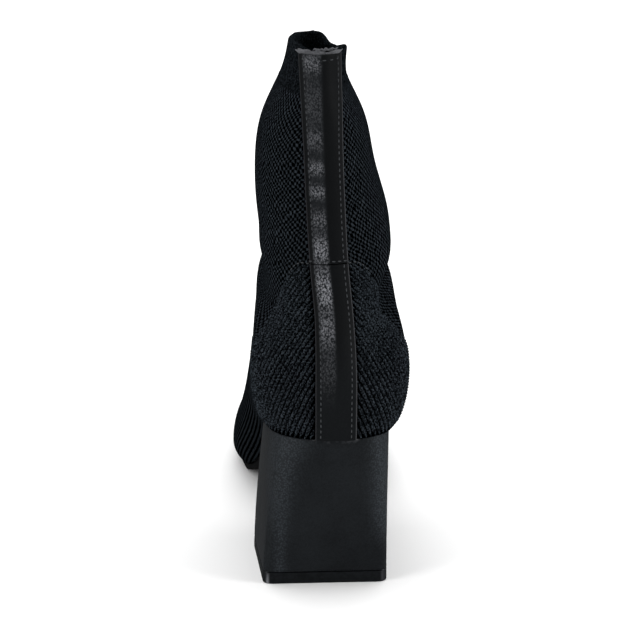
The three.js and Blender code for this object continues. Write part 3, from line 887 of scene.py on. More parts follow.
def rib_paint(name, look, dark, light):
    """Yarn of raised ribs: painted shade in the hollows of its fibre bump, painted highlight on its
    fibres.
    """
    paint = Paint(name, look.colour, 0.82, gloss=KNIT_GLOSS)
    fibre = paint.noise(FIBRE_SCALE, 3)
    # Painted shade and painted highlight: the fibre noise that raises the bump also lightens the
    # yarn
    paint.put("Base Color", fibre.step(0.4, 0.7).shades(look.colour, dark, light))
    paint.bump(fibre, FIBRE_DEPTH)
    return paint.material


def leather_paint(look):
    """Pebbled leather of the strips, brighter where its outer half catches the light."""
    paint = Paint("strip_leather", look.colour, look.roughness, LEATHER_GLOSS)
    across, shine = paint.field("across"), paint.field("shine")
    bent = paint.place.scaled((1, 1, 0.75))
    grain, fine = [paint.cells(scale, 0.2, bent) for scale in PEBBLE_SCALES]
    crest = 1 - (grain * 0.7 + fine * 0.45)
    glint = (crest.step(0.22, 0.66) * shine).clamped()
    # Painted light: the tone field makes the outer half of the strips lighter and the inner half
    # darker
    base = paint.field("tone").shades(look.colour, 0.42, 0.95)
    lit = glint.tint(base, shade(look.edge_and_highlight_colour, 5.5))
    raw = across.math("ABSOLUTE").step(0.9, 0.95) * across.step(-0.5, 0.5).blend(0.25, 0.75)
    paint.put("Base Color", raw.tint(lit, shade(look.edge_and_highlight_colour, 1.3)))
    paint.put("Roughness", glint.blend(look.roughness + 0.14, look.roughness))
    paint.bump((grain * 0.7 + fine * 0.3) * (0.3 + 0.7 * shine), -look.grain_depth)
    return paint.material


def heel_paint(look):
    """Smooth leather over the heel block, with a painted sheen down its two sides and painted
    glints along its top edge.
    """
    paint = Paint("heel_cover", look.colour, look.roughness + 0.1, LEATHER_GLOSS)
    grain = paint.cells(COVER_SCALE, 0.3)
    drift = paint.noise(CLOUD_SCALE, 3)
    tone = drift.step(0.3, 0.7)
    base = (tone * 0.5 + grain * 0.7).shades(look.colour, 1.5, 0.8)
    # Painted sheen: two bands down the heel's sides are lightened, broken up by the grain
    speck = (1 - grain).step(0.35, 0.8) * 0.8 + 0.35
    base = (paint.field("band") * speck).clamped().tint(base, shade(look.colour, 3.4))
    # Painted glints along the heel's top edge under the strip, broken up by noise
    edge_glint = paint.field("edge") * paint.noise(EDGE_GLINT_SCALE, 2).step(0.42, 0.6)
    paint.put("Base Color", edge_glint.clamped().tint(base, shade(look.edge_and_highlight_colour, 4.0)))
    paint.put("Roughness", tone.blend(look.roughness + 0.12, look.roughness + 0.04))
    paint.bump(grain * 0.9 + drift * 0.9, -look.grain_depth * 0.9)
    return paint.material


def lift_paint(look):
    """Rubber of the top lift, with painted highlights along its two rear corners."""
    paint = Paint("lift_rubber", deep("lift_rubber"), 0.6, gloss=LEATHER_GLOSS)
    grain = paint.noise(RUBBER_SCALE, 3)
    base = grain.step(0.3, 0.7).shades(look.colour, 0.6, 0.95)
    # Painted highlights: the lines on the lift's two rear corners
    line = paint.field("line").clamped()
    paint.put("Base Color", line.tint(base, shade(look.edge_and_highlight_colour, 7.0)))
    paint.bump(grain, 0.05 * MM)
    return paint.material


def plain_paint(name, colour, roughness, scale=900, depth=0.05 * MM):
    """A plain material with a faint grain."""
    paint = Paint(name, colour, roughness, gloss=LEATHER_GLOSS)
    grain = paint.noise(scale, 3)
    paint.put("Base Color", grain.step(0.3, 0.7).shades(colour, 0.85, 1.15))
    paint.bump(grain, depth)
    return paint.material


# Geometry Nodes

def new_tree(name, inputs):
    """A geometry tree with named inputs: its group, its wires by name, and their sockets."""
    tree = bpy.data.node_groups.new(name, "GeometryNodeTree")
    face = tree.interface
    face.new_socket("Geometry", in_out="OUTPUT", socket_type="NodeSocketGeometry")
    face.new_socket("Geometry", in_out="INPUT", socket_type="NodeSocketGeometry")
    keys = {}
    for label, kind in inputs.items():
        socket = face.new_socket(label, in_out="INPUT", socket_type="NodeSocket" + kind)
        keys[label] = socket.identifier
    source = tree.nodes.new("NodeGroupInput")
    wires = {socket.name: Wire(tree, socket) for socket in source.outputs if socket.name}
    return tree, wires, keys


def close_tree(tree, geometry, material):
    """Ends a tree: smooth, real, with its material."""
    smooth = geometry.node("GeometryNodeSetShadeSmooth", 0, {"Geometry": geometry})
    real = smooth.node("GeometryNodeRealizeInstances", 0, {"Geometry": smooth})
    done = real.node("GeometryNodeSetMaterial", 0, {"Geometry": real, "Material": material})
    target = tree.nodes.new("NodeGroupOutput")
    tree.links.new(done.socket, target.inputs[0])


def grown(piece, tree, keys, values):
    """Runs a tree on a piece and keeps the result as the piece's plain mesh."""
    modifier = piece.modifiers.new("grow", "NODES")
    modifier.node_group = tree
    for label, value in values.items():
        modifier[keys[label]] = value
    evaluated = piece.evaluated_get(bpy.context.evaluated_depsgraph_get())
    mesh = bpy.data.meshes.new_from_object(evaluated)
    piece.modifiers.remove(modifier)
    piece.data = mesh
    mesh.name = piece.name
    if not len(mesh.polygons):
        raise RuntimeError(piece.name + " came out empty")
    return piece


def line_points(name, lines, fields):
    """An object of open lines, with named numbers on their points."""
    edges, first = [], 0
    for line in lines:
        edges += [(first + i, first + i + 1) for i in range(len(line) - 1)]
        first += len(line)
    flat = {key: np.concatenate(values) for key, values in fields.items()}
    return mesh_piece(name, np.concatenate(lines), [], None, fields=flat, edges=edges)


def rib_tree():
    """Round ribs along lines, as thick as their points say."""
    tree, wire, keys = new_tree("Ribs", {
        "Rib width": "Float", "Rib sides": "Int", "Rib material": "Material"})
    weight = add_node(tree, "GeometryNodeInputNamedAttribute", 0, {"Name": "weight"},
                      data_type="FLOAT")
    curve = add_node(tree, "GeometryNodeMeshToCurve", 0, {"Mesh": wire["Geometry"]})
    ring = add_node(tree, "GeometryNodeCurvePrimitiveCircle", 0, {
        "Resolution": wire["Rib sides"], "Radius": wire["Rib width"] * 0.5})
    ribs = add_node(tree, "GeometryNodeCurveToMesh", 0, {
        "Curve": curve, "Profile Curve": ring, "Scale": weight, "Fill Caps": True})
    close_tree(tree, ribs, wire["Rib material"])
    return tree, keys


def stitch_tree():
    """A stitch on each point, laid along its way and up its out."""
    tree, wire, keys = new_tree("Stitches", {
        "Stitch length": "Float", "Thread": "Float", "Thread material": "Material"})
    ball = add_node(tree, "GeometryNodeMeshUVSphere", 0, {
        "Segments": 10, "Rings": 6, "Radius": 0.5})
    way, out = [add_node(tree, "GeometryNodeInputNamedAttribute", 0, {"Name": name},
                         data_type="FLOAT_VECTOR") for name in ("way", "out")]
    turned = add_node(tree, "FunctionNodeAxesToRotation", 0, {
        "Primary Axis": way, "Secondary Axis": out}, primary_axis="X", secondary_axis="Z")
    size = add_node(tree, "ShaderNodeCombineXYZ", 0, {
        0: wire["Stitch length"], 1: wire["Thread"], 2: wire["Thread"]})
    rows = add_node(tree, "GeometryNodeInstanceOnPoints", 0, {
        "Points": wire["Geometry"], "Instance": ball, "Rotation": turned, "Scale": size})
    close_tree(tree, rows, wire["Thread material"])
    return tree, keys


# Leather strips

SEAM_REACH = 20 * MM
STRIP_ROW = 0.9 * MM
STRIP_TOP = COLLAR_Z - 2.2 * MM
# Strands of the hem: from and to across, height over the strip's top, rise, thickness share,
# wave of the height, waves
HEM = np.array([
    (-1.12, 1.12, 0.1, 0.9, 1.0, 0.12, 3),
    (-1.05, 0.2, 0.7, 0.5, 0.8, 0.15, 2),
    (-0.4, 0.75, 1.5, 0.1, 0.6, 0.45, 5),
    (-0.2, 1.0, 1.1, -0.3, 0.55, 0.35, 4),
])
HEM_STEPS = 40
# Distances of the strip's close rows from its edge, and its even columns between them
STRIP_RIM = np.array([0, 0.03, 0.1, 0.22, 0.4]) * MM
STRIP_COLUMNS = np.linspace(-0.93, 0.93, 31)
STRIP_EDGE = 0.5 * MM
STRIP_END = 0.22 * MM
STRIP_INSIDE = 0.3 * MM
ROOF_RISE = 0.9 * MM
ROOF_Z = (HEEL_HEIGHT + 12 * MM, HEEL_HEIGHT + 45 * MM)
STITCH_IN = 1 - 2.4 * MM / (STRIP_WIDTH / 2)
STITCH_LIFT = 0.02 * MM
STITCH_SPANS = (
    (HEEL_HEIGHT + 1.2 * MM, SEAM_Z - 1 * MM), (SEAM_Z + 1.6 * MM, STRIP_TOP - 1 * MM))
ANKLE_MIDDLE = np.array([0, 40 * MM, 0])
# Where the outer half of the strips catches the light: height, half size, strength
GLINTS = np.array([
    (0.229, 0.004, 0.45), (0.212, 0.012, 0.16), (0.197, 0.005, 0.3), (0.1845, 0.0028, 0.6),
    (0.1745, 0.0028, 0.6), (0.162, 0.004, 0.45), (0.149, 0.006, 0.85), (0.132, 0.009, 1.0),
    (0.116, 0.008, 0.6), (0.1, 0.01, 0.15),
])
# Soft creases across the upper strip: height, place across, half sizes, depth
CREASES = np.array([
    (0.1905, -0.5, 0.0034, 0.55, -0.3 * MM),
    (0.1795, -0.45, 0.0026, 0.5, -0.42 * MM),
    (0.1665, -0.4, 0.003, 0.55, -0.4 * MM),
    (0.147, -0.3, 0.0026, 0.7, -0.25 * MM),
    (0.221, -0.2, 0.006, 0.8, -0.2 * MM),
])


def strip_rise(z, across):
    """How far the strip's face stands over the knit's form."""
    roof = ROOF_RISE * (1 - np.sqrt(across**2 + 0.04)) * soft_step(*ROOF_Z, z)
    total = STRIP_THICKNESS + np.maximum(roof, 0)
    for height, middle, tall, wide, depth in CREASES:
        off = ((z - height) / tall) ** 2 + ((across - middle) / wide) ** 2
        total = total + depth * np.exp(-off)
    return total


def outer_half(across, low, high):
    """One on the strip's outer half, fading between two places near its middle."""
    return soft_step(-0.82, -0.6, across) * (1 - soft_step(low, high, across))


def strip_shine(z, across):
    """The share of light that the strip's outer half throws back."""
    total = np.zeros(z.shape)
    for height, reach, strength in GLINTS:
        total = np.maximum(total, strength * np.exp(-((z - height) / reach) ** 2))
    return total * outer_half(across, -0.12, 0.06)


def strip_painted_light(z, across):
    """Painted light on the strip's face: lighter on its outer half and darker on its inner half
    above, even near the heel.
    """
    return 0.5 + (outer_half(across, -0.08, 0.1) - 0.5) * soft_step(0.088, 0.116, z)


def strip_points(z, across, rise):
    """Points of the strip's face, raised off the knit's form."""
    along, turn = rear_place(strip_x(z, across), z)
    return form(along, turn) + form_normal(along, turn) * np.asarray(rise)[..., None]


def rounded(distance, reach):
    """The share of full height at a distance from a round edge."""
    t = np.clip(1 - distance / reach, 0, 1)
    return np.sqrt(1 - t * t)


def strip_cover(name, low, high, material):
    """A strip of leather between two heights, with round edges, over the knit."""
    middle = np.linspace(low + STRIP_ROW, high - STRIP_ROW, int((high - low) / STRIP_ROW))
    rows = np.concatenate([low + STRIP_RIM, middle, (high - STRIP_RIM)[::-1]])
    edge = 1 - STRIP_RIM / (STRIP_WIDTH / 2)
    columns = np.concatenate([-edge, STRIP_COLUMNS, edge[::-1]])
    z, across = np.meshgrid(rows, columns, indexing="ij")
    to_side = (1 - np.abs(across)) * STRIP_WIDTH / 2
    to_end = np.minimum(z - low, high - z)
    full = rounded(to_side, STRIP_EDGE) * rounded(to_end, STRIP_END)
    outer = strip_points(z, across, STRIP_INSIDE + strip_rise(z, across) * full)
    inner = strip_points(z, across, np.full(z.shape, STRIP_INSIDE))
    shape = (len(rows), len(columns))
    corners = {z.size + r * shape[1] + c for r in (0, shape[0] - 1) for c in (0, shape[1] - 1)}
    faces = grid_faces(*shape, flip=True)
    # The two rings of the edge meet in each corner, so the four faces there are split
    for face in grid_faces(*shape, z.size):
        at = [k for k, place in enumerate(face) if place in corners]
        turned = face[at[0]:] + face[:at[0]] if at else face
        faces += [turned[:3], (turned[0], *turned[2:])] if at else [face]
    points = np.concatenate([outer.reshape(-1, 3), inner.reshape(-1, 3)])
    # The tone field carries the painted light of the strip's two halves, the shine field its
    # painted glints
    looks = {"across": across, "tone": strip_painted_light(z, across), "shine": strip_shine(z, across)}
    fields = {key: np.tile(values.ravel(), 2) for key, values in looks.items()}
    return merged(mesh_piece(name, points, faces, material, fields=fields), 0.01 * MM)


def hem_lines():
    """Strands of the folded, frayed end at the strip's top, and how thick they are."""
    lines, weights = [], []
    for low, high, over, rise, thick, wave, waves in HEM:
        share = np.linspace(0, 1, HEM_STEPS)
        across = low + (high - low) * share
        ripple = np.sin(2 * math.pi * waves * share + over) * np.sin(5.3 * share + waves)
        z = STRIP_TOP + (over + wave * ripple) * MM
        lines.append(strip_points(z, across, np.full(z.shape, rise * MM)))
        ends = soft_step(0, 0.12, np.minimum(share, 1 - share))
        weights.append(thick * (0.3 + 0.7 * ends) * (1 + 0.3 * np.sin(17 * share + 3 * over)))
    return lines, weights


def strip_frame(z, across, lift):
    """Points on a strip, the way up it, and the way out of it."""
    rise = STRIP_INSIDE + strip_rise(z, across) + lift
    here = strip_points(z, across, rise)
    up = strip_points(z + 0.5 * MM, across, rise) - here
    side = strip_points(z, across + 0.05, rise) - here
    out = np.cross(side, up)
    return here, up, out, side


def stitch_rows(pitch):
    """Places of the stitches: beside the long edges, at the hem and along the cross seam."""
    rows = []
    for low, high in STITCH_SPANS:
        z = np.arange(low + pitch / 2, high, pitch)
        for side in (-1, 1):
            here, up, out, _ = strip_frame(z, np.full(z.shape, side * STITCH_IN), STITCH_LIFT)
            rows.append((here, up, out))
    for height, reach in ((STRIP_TOP - 2.4 * MM, STITCH_IN), (SEAM_Z + 1.2 * MM, 0.92)):
        across = np.arange(-reach, reach, pitch / (STRIP_WIDTH / 2))
        here, _, out, side = strip_frame(np.full(across.shape, height), across, STITCH_LIFT)
        rows.append((here, side, out))
    for side in (-1, 1):
        away = np.arange(1.2 * MM, SEAM_REACH, 0.25 * MM)
        height = panel_top(away) + 0.9 * MM
        run = run_of(np.column_stack([away, height]))
        even = np.arange(0, run[-1], pitch)
        away, height = np.interp(even, run, away), np.interp(even, run, height)
        line = skin(*panel_places(side)(np.minimum(height, SEAM_Z - 0.1 * MM), away), -0.08 * MM)
        rows.append((line, np.gradient(line, axis=0), line - ANKLE_MIDDLE))
    return [np.concatenate(part) for part in zip(*rows)]


# Heel

HEEL_STEPS = 132
BREAST_STEPS = 40
OUTLINE_STEPS = 60
CORNER_STEPS = 8
HEEL_EDGE = 0.7 * MM
HEEL_SWELL = 2.2 * MM
# Places across of the painted highlights on the lift's two rear corners
CORNER_LINES = (-25.4 * MM, 25.6 * MM)
LIFT_EDGE = 0.35 * MM
BLOCK_LEVELS = 40
LIFT_LEVELS = 3
MEET_ROUNDS = 20
BREAST_ROUNDS = 6
BREAST_REACH = 3
# Shares of an edge's radius at which its rings lie, and sizes of the rings inside a cap
EDGE_SHARES = np.array([0, 0.15, 0.5, 1.0])
CAP_SHARES = (0.9, 0.6, 0.3)
SEAT_BREAST = HEEL_INSET + HEEL_DEPTH + BREAST_LEAN + HOME[1]


def foot_outline(inset):
    """The knit's edge on the sole, moved in: medial side to the toe and lateral side back."""
    waist = np.array(len(FOOT) / (len(SECTIONS) - 1))

    def on_sole(along):
        return ~above_sole(form(along, math.pi))

    toe = last_place(waist, np.array(0.0), on_sole)
    rear = last_place(waist, np.array(1.0), on_sole)
    share = (1 - np.cos(np.linspace(0, math.pi, OUTLINE_STEPS + 1))) / 2
    stops = rear + (toe - rear) * share
    inner = stops[1:-1]
    outline = np.concatenate([
        form(stops, -foot_turn(stops, -1)), form(inner, foot_turn(inner, 1))[::-1]])[:, :2]
    way = unit(np.roll(outline, -1, axis=0) - np.roll(outline, 1, axis=0))
    return outline + inset * np.stack([-way[:, 1], way[:, 0]], -1)


def evenly(points, steps):
    """Points at even distances along a flat line."""
    run = run_of(points)
    even = np.linspace(0, run[-1], steps + 1)
    return np.stack([np.interp(even, run, points[:, k]) for k in range(2)], -1)


def seat_line():
    """The heel's outline at the seat, from its lateral breast corner round the rear."""
    outline = foot_outline(SEAT_INSET)
    y = outline[:, 1]
    start = next(i for i in range(len(y) // 2 + 1, len(y)) if y[i] < SEAT_BREAST)
    end = next(i for i in range(len(y)) if y[i] > SEAT_BREAST)

    def corner(near, far):
        return near + (far - near) * (SEAT_BREAST - near[1]) / (far[1] - near[1])

    first = corner(outline[start], outline[start - 1])
    last = corner(outline[end - 1], outline[end])
    return np.concatenate([[first], outline[start:], outline[:end], [last]])


def tread_line():
    """The heel's outline at the floor, from its lateral breast corner round the rear."""
    half, back = HEEL_WIDTH / 2, HEEL_BACK / 2
    breast, rear = HEEL_DEPTH / 2, -HEEL_DEPTH / 2
    angle = np.linspace(0, math.pi / 2, CORNER_STEPS + 1)
    turned = np.stack([np.cos(math.pi + angle), np.sin(math.pi + angle)], -1) * HEEL_CORNER
    left = turned + (HEEL_CORNER - back, rear + HEEL_CORNER)
    right = (turned * (-1, 1))[::-1] + (back - HEEL_CORNER, rear + HEEL_CORNER)
    return np.concatenate([[(-half, breast)], left, right, [(half, breast)]])


def closed_round(line):
    """Closes an outline along the breast and rounds its two corners there."""
    last, first = line[-1], line[0]
    share = np.linspace(0, 1, BREAST_STEPS + 1)[1:-1, None]
    ring = np.concatenate([line, last + (first - last) * share])
    corners = (0, len(line) - 1)
    for _ in range(BREAST_ROUNDS):
        soft = (np.roll(ring, 1, axis=0) + 2 * ring + np.roll(ring, -1, axis=0)) / 4
        for corner in corners:
            for k in range(corner - BREAST_REACH, corner + BREAST_REACH + 1):
                ring[k % len(ring)] = soft[k % len(ring)]
    return ring


def heel_ring(share_z):
    """The heel's outline at each point's own share of the way up from tread to seat."""
    return TREAD_RING + (SEAT_RING - TREAD_RING) * share_z[:, None]


TREAD_RING = closed_round(evenly(tread_line(), HEEL_STEPS))
SEAT_RING = closed_round(evenly(seat_line(), HEEL_STEPS))
# The block swells on its outer side, up under the seat
SEAT_RING[:, 0] -= HEEL_SWELL * soft_step(0, -HEEL_WIDTH / 2, SEAT_RING[:, 0]) * soft_step(
    -15 * MM, 20 * MM, SEAT_RING[:, 1])


def flare(z):
    """The share of the way from the tread's outline to the seat's at a height."""
    return np.clip(z / HEEL_HEIGHT, 0, 1) ** HEEL_FLARE


def column_piece(name, low, top, edge, material, levels):
    """A part of the heel between two heights for each point of its outline, edges round."""
    low = np.full(len(TREAD_RING), low)
    steps = edge * EDGE_SHARES
    edge_rings = list(zip(steps, 1 - rounded(steps, edge)))
    bands = [(low + step, pull) for step, pull in edge_rings]
    for share in np.linspace(0, 1, levels + 2)[1:-1]:
        bands.append((low + edge + (top - low - 2 * edge) * share, 0.0))
    bands += [(top - step, pull) for step, pull in edge_rings[::-1]]
    rings = []
    for z, pull in bands:
        ring = heel_ring(flare(z))
        way = unit(ring.mean(0) - ring)
        rings.append(np.column_stack([ring + way * edge * pull, z]))
    under, over = rings[0], rings[-1]
    for scale in CAP_SHARES:
        rings.insert(0, under.mean(0) + (under - under.mean(0)) * (scale, scale, 1))
        rings.append(cap_ring(over, scale, top))
    points = np.concatenate([*rings, [rings[0].mean(0)], [rings[-1].mean(0)]])
    count = len(TREAD_RING)
    faces = grid_faces(len(rings), count, closed=True)
    top_ring = (len(rings) - 1) * count
    for j in range(count):
        k = (j + 1) % count
        faces.append((len(points) - 2, k, j))
        faces.append((len(points) - 1, top_ring + j, top_ring + k))
    fields = heel_fields(points, points[:, 2].min(), points[:, 2].max())
    return merged(mesh_piece(name, points, faces, material, fields=fields), 0.01 * MM)


def heel_fields(points, low, high):
    """Where light is painted on the heel's face: a sheen in two bands, glints on its top edge and
    highlights on its rear corners.
    """
    x, y, z = points.T
    share = (z - low) / (high - low)
    across = x / (HEEL_BACK / 2 + 2 * MM * share)
    rear = 1 - soft_step(-12 * MM, 0, y)
    # Painted sheen: bands down the outer and the inner side of the rear face
    outer = np.exp(-((across + 0.72 - 0.2 * share**2) / (0.1 + 0.2 * share**2)) ** 2)
    inner = np.exp(-((across - 0.93 + 0.1 * share) / 0.16) ** 2) * soft_step(0.1, 0.45, share)
    # Painted glints along the top edge, under the strip
    top = np.exp(-((z - sole_line(y)) / (0.5 * MM)) ** 2)
    strip = 1 - soft_step(9 * MM, 11 * MM, np.abs(x - strip_x(HEEL_HEIGHT, 0.0)))
    # Painted highlights on the rear corners
    lines = sum(np.exp(-((x - place) / (0.25 * MM)) ** 2) for place in CORNER_LINES)
    return {"band": (outer * 0.8 + inner) * rear, "edge": top * strip * rear, "line": lines * rear}


def cap_ring(ring, scale, top):
    """A smaller ring inside the top one, on the sole's face where that slopes."""
    middle = ring.mean(0)
    inner = middle + (ring - middle) * (scale, scale, 1)
    if np.ptp(top) > 0:
        inner[:, 2] = sole_line(inner[:, 1])
    return inner


def heel_top():
    """The height at which each point of the heel's outline meets the sole's line."""
    z = np.full(len(TREAD_RING), HEEL_HEIGHT)
    for _ in range(MEET_ROUNDS):
        z = sole_line(heel_ring(flare(z))[:, 1])
    return z


# Settings

DEEP = (0.33, 0.35, 0.37)


def length_value(name, text, default, low, high):
    """A setting in metres."""
    return FloatProperty(name=name, description=text, default=default, min=low, max=high,
                         subtype="DISTANCE", unit="LENGTH", precision=5)


def share_value(name, text, default):
    """A setting from 0 to 1."""
    return FloatProperty(name=name, description=text, default=default, min=0, max=1,
                         subtype="FACTOR")


def colour_value(name, text, default):
    """A setting that is a colour."""
    return FloatVectorProperty(name=name, description=text, default=default, size=3,
                               subtype="COLOR", min=0, max=1)


def slot_colour(slot):
    """The record's colour of a material slot."""
    return next(tuple(m["base_color"]) for m in frame["record"]["materials"] if m["slot"] == slot)


def deep(slot):
    """The record's colour, darker and cooler: without the sheen that the light adds."""
    return tuple(share * c for share, c in zip(DEEP, slot_colour(slot)))


class BootKnit(bpy.types.PropertyGroup):
    colour: colour_value("Yarn", "Colour of the knit's yarn", deep("knit"))
    loop_width: length_value("Loop width", "Width of two loops", 2.4 * MM, 0.001, 0.01)
    loop_height: length_value("Loop height", "Height of two courses", 2.6 * MM, 0.001, 0.01)
    loop_depth: length_value("Loop depth", "Relief of the loops", 0.45 * MM, 0, 0.002)
    rib_pitch: length_value("Collar rib pitch", "Distance between ribs of the collar",
                            1.2 * MM, 0.0008, 0.004)
    rib_width: length_value("Collar rib width", "Thickness of a collar rib",
                            0.85 * MM, 0.0004, 0.002)
    panel_pitch: length_value("Counter rib pitch", "Distance between ribs of the counter",
                              2.4 * MM, 0.0015, 0.006)
    panel_width: length_value("Counter rib width", "Thickness of a counter rib",
                              1.75 * MM, 0.0008, 0.004)


class BootLeather(bpy.types.PropertyGroup):
    colour: colour_value("Leather", "Colour of the strips and the heel", deep("leather"))
    # The raw edge's colour is also the base of the painted glints and highlights on the strips,
    # heel and lift
    edge_and_highlight_colour: colour_value("Raw edge", "Colour of the strips' cut edges", (0.045, 0.046, 0.05))
    thread_colour: colour_value("Thread", "Colour of the stitches", (0.05, 0.054, 0.058))
    roughness: share_value("Roughness", "Roughness of the leather's face", 0.42)
    grain_depth: length_value("Grain depth", "Relief of the leather's grain", 0.16 * MM, 0, 0.001)
    stitch_pitch: length_value("Stitch pitch", "Distance between stitches", 2.5 * MM, 0.001, 0.01)
    stitch_length: length_value("Stitch length", "Length of a stitch", 1.6 * MM, 0.0005, 0.008)
    hem_width: length_value("Hem", "Thickness of the strip's folded end", 1.5 * MM, 0.0005, 0.004)
    thread_width: length_value("Thread width", "Thickness of the thread", 0.55 * MM, 0.0002, 0.002)


class BootStage(bpy.types.PropertyGroup):
    floor_colour: colour_value("Floor", "Colour of the floor", (0.95, 0.95, 0.95))
    side_power: FloatProperty(name="Side lights", description="Power of each side light in watts",
                              default=6.0, min=0, max=200, subtype="POWER")
    sky: FloatProperty(name="Sky", description="Brightness of the white surroundings",
                       default=0.2, min=0, max=5)
    lens: FloatProperty(name="Lens", description="Focal length of the camera",
                        default=118.125, min=20, max=400, subtype="DISTANCE_CAMERA", unit="CAMERA")


# Stage: the camera looks at the boot from behind, tilted down

FLOOR_HALF = 3.0
SENSOR_WIDTH = 36.0
VIEW_TURN = -0.05236
VIEW_TILT = 0.281
VIEW_DISTANCE = 0.90995
VIEW_TARGET = (-0.000968, 0.0, 0.11296)
# Name, place, aim, size, share of the side lights' power
LIGHTS = (
    ("left light", (-0.9, -0.4, 0.5), (0.0, 0.0, 0.12), (0.5, 0.9), 1.0),
    ("right light", (0.95, -0.3, 0.45), (0.0, 0.0, 0.12), (0.4, 0.9), 1.1),
    ("ceiling light", (0.0, 1.9, 2.2), (0.0, 1.901, 0.0), (4.0, 4.0), 24.0),
)


def set_floor(colour):
    """A wide floor that doesn't show in the boot's sheen."""
    corners = [(x * FLOOR_HALF, y * FLOOR_HALF, 0) for x, y in ((-1, -1), (1, -1), (1, 1), (-1, 1))]
    material = Paint("floor", colour, 0.9).material
    floor = mesh_piece("floor", corners, [(0, 1, 2, 3)], material, smooth=False)
    floor.visible_glossy = False


def set_sky(scene, brightness):
    """White surroundings."""
    world = bpy.data.worlds.new("surroundings")
    world.use_nodes = True
    sky = world.node_tree.nodes["Background"]
    sky.inputs["Color"].default_value = (1, 1, 1, 1)
    sky.inputs["Strength"].default_value = brightness
    scene.world = world
    scene.view_settings.view_transform = "Standard"


def put_in(scene, name, data, place, aim):
    """Places a light or a camera so that it looks along its aim."""
    made = bpy.data.objects.new(name, data)
    made.location = place
    made.rotation_euler = aim.to_track_quat("-Z", "Y").to_euler()
    scene.collection.objects.link(made)
    return made


def set_lights(scene, power):
    """Flat lights, each with its share of the side lights' power."""
    for name, place, target, size, share in LIGHTS:
        data = bpy.data.lights.new(name, "AREA")
        data.shape = "RECTANGLE"
        data.size, data.size_y = size
        data.energy = power * share
        put_in(scene, name, data, place, Vector(target) - Vector(place))


def set_camera(scene, lens):
    """The camera, at its distance from the boot along its turn and tilt."""
    data = bpy.data.cameras.new("camera")
    data.sensor_width = SENSOR_WIDTH
    data.lens = lens
    level = math.cos(VIEW_TILT)
    back = Vector((math.sin(VIEW_TURN) * level, -math.cos(VIEW_TURN) * level,
                   math.sin(VIEW_TILT)))
    place = Vector(VIEW_TARGET) + back * VIEW_DISTANCE
    scene.camera = put_in(scene, "camera", data, place, -back)


# Operators

class BOOT_OT_knit(bpy.types.Operator):
    """Builds the hollow knit upper"""
    bl_idname = "boot.knit"
    bl_label = "Knit upper"

    def execute(self, context):
        piece = knit_shell(knit_paint(context.scene.boot_knit))
        finish_piece(piece, "knit", "upper")
        return {"FINISHED"}


class BOOT_OT_ribs(bpy.types.Operator):
    """Builds the ribs of the collar and of the counter"""
    bl_idname = "boot.ribs"
    bl_label = "Knit ribs"

    def execute(self, context):
        look = context.scene.boot_knit
        tree, keys = rib_tree()
        collar = collar_rails(look.rib_pitch)
        counter, weights = [], []
        for side in (-1, 1):
            lines, sizes = panel_rails(side, look.panel_pitch, PANEL_LOOP)
            counter += lines
            weights += sizes
        even = [np.ones(len(line)) for line in collar]
        for name, lines, sizes, width, (sides, dark, light) in (
                ("collar_ribs", collar, even, look.rib_width, COLLAR_RIB),
                ("counter_ribs", counter, weights, look.panel_width, COUNTER_RIB)):
            piece = line_points(name, lines, {"weight": sizes})
            grown(piece, tree, keys, {
                "Rib width": width, "Rib sides": sides,
                "Rib material": rib_paint(name, look, dark, light)})
            finish_piece(piece, "knit")
        return {"FINISHED"}


class BOOT_OT_strips(bpy.types.Operator):
    """Builds the two leather strips up the back"""
    bl_idname = "boot.strips"
    bl_label = "Back strips"

    def execute(self, context):
        material = leather_paint(context.scene.boot_leather)
        lower = strip_cover("strip_lower", HEEL_HEIGHT + TOUCH_GAP, SEAM_Z - SEAM_LAP, material)
        upper = strip_cover("strip_upper", SEAM_Z + SEAM_LAP, STRIP_TOP, material)
        finish_piece(lower, "leather", "back_strip_lower")
        finish_piece(upper, "leather", "back_strip_upper")
        return {"FINISHED"}


class BOOT_OT_stitches(bpy.types.Operator):
    """Sews the strips"""
    bl_idname = "boot.stitches"
    bl_label = "Stitches"

    def execute(self, context):
        look = context.scene.boot_leather
        points, ways, outs = stitch_rows(look.stitch_pitch)
        piece = mesh_piece("strip_stitches", points, [], None, fields={"way": ways, "out": outs})
        tree, keys = stitch_tree()
        thread = plain_paint("thread", look.thread_colour, 0.6, 3000, 0.1 * MM)
        grown(piece, tree, keys, {
            "Stitch length": look.stitch_length, "Thread": look.thread_width,
            "Thread material": thread})
        finish_piece(piece, "leather")
        return {"FINISHED"}


class BOOT_OT_hem(bpy.types.Operator):
    """Lays the frayed hem over the strip's top"""
    bl_idname = "boot.hem"
    bl_label = "Hem"

    def execute(self, context):
        look = context.scene.boot_leather
        lines, weights = hem_lines()
        piece = line_points("strip_hem", lines, {"weight": weights})
        tree, keys = rib_tree()
        edge = plain_paint("raw_edge", shade(look.edge_and_highlight_colour, 1.8)[:3], 0.8, 1200, 0.4 * MM)
        grown(piece, tree, keys, {
            "Rib width": look.hem_width, "Rib sides": 8, "Rib material": edge})
        finish_piece(piece, "leather")
        return {"FINISHED"}


class BOOT_OT_heel(bpy.types.Operator):
    """Builds the covered heel block and its top lift"""
    bl_idname = "boot.heel"
    bl_label = "Heel"

    def execute(self, context):
        look = context.scene.boot_leather
        block = column_piece("heel_cover", LIFT_THICKNESS + TOUCH_GAP, heel_top(),
                             HEEL_EDGE, heel_paint(look), BLOCK_LEVELS)
        finish_piece(block, "heel_leather", "heel_block")
        lift = column_piece("heel_lift", 0.0, np.full(len(TREAD_RING), LIFT_THICKNESS),
                            LIFT_EDGE, lift_paint(look), LIFT_LEVELS)
        finish_piece(lift, "lift_rubber", "top_lift")
        return {"FINISHED"}


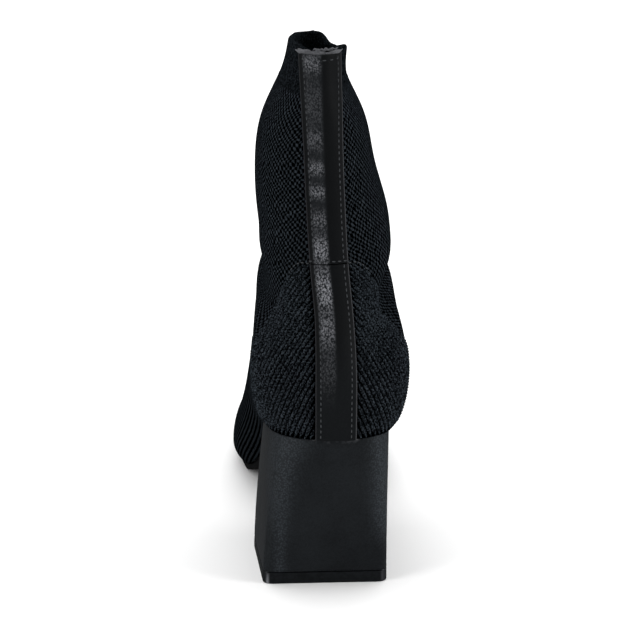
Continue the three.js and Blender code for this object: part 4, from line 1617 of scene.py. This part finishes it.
class BOOT_OT_sole(bpy.types.Operator):
    """Finishes the outsole and the insole"""
    bl_idname = "boot.sole"
    bl_label = "Sole and insole"

    def execute(self, context):
        # Painted shade: the outsole's colour is darkened to 0.3 of the record's, against the light
        # the floor throws up on it
        for node, slot, roughness, share in (
                ("outsole", "sole_rubber", 0.9, 0.3), ("insole", "lining", 0.8, 1.0)):
            piece = bpy.data.objects[node]
            material = plain_paint(slot, shade(deep(slot), share)[:3], roughness)
            for place in piece.material_slots:
                place.material = material
        return {"FINISHED"}


class BOOT_OT_stage(bpy.types.Operator):
    """Sets the floor, the lights and the camera"""
    bl_idname = "boot.stage"
    bl_label = "Stage"

    def execute(self, context):
        look = context.scene.boot_stage
        set_floor(look.floor_colour)
        set_sky(context.scene, look.sky)
        set_lights(context.scene, look.side_power)
        set_camera(context.scene, look.lens)
        return {"FINISHED"}


class BOOT_PT_panel(bpy.types.Panel):
    """Lists the boot's sizes, colours and pieces"""
    bl_idname = "BOOT_PT_panel"
    bl_label = "Knit ankle boot"
    bl_space_type = "VIEW_3D"
    bl_region_type = "UI"
    bl_category = "Boot"

    def draw(self, context):
        for group in (context.scene.boot_knit, context.scene.boot_leather,
                      context.scene.boot_stage):
            box = self.layout.box()
            for key in group.__annotations__:
                box.prop(group, key)
        for operator in OPERATORS:
            self.layout.operator(operator.bl_idname)


OPERATORS = (BOOT_OT_knit, BOOT_OT_ribs, BOOT_OT_strips, BOOT_OT_stitches, BOOT_OT_hem,
             BOOT_OT_heel, BOOT_OT_sole, BOOT_OT_stage)
CLASSES = (BootKnit, BootLeather, BootStage, *OPERATORS, BOOT_PT_panel)


def register():
    for made in CLASSES:
        bpy.utils.register_class(made)
    bpy.types.Scene.boot_knit = PointerProperty(type=BootKnit)
    bpy.types.Scene.boot_leather = PointerProperty(type=BootLeather)
    bpy.types.Scene.boot_stage = PointerProperty(type=BootStage)


def unregister():
    del bpy.types.Scene.boot_stage
    del bpy.types.Scene.boot_leather
    del bpy.types.Scene.boot_knit
    for made in reversed(CLASSES):
        bpy.utils.unregister_class(made)


def main():
    register()
    bpy.ops.boot.knit()
    bpy.ops.boot.ribs()
    bpy.ops.boot.strips()
    bpy.ops.boot.stitches()
    bpy.ops.boot.hem()
    bpy.ops.boot.heel()
    bpy.ops.boot.sole()
    bpy.ops.boot.stage()


if __name__ == "__main__":
    main()
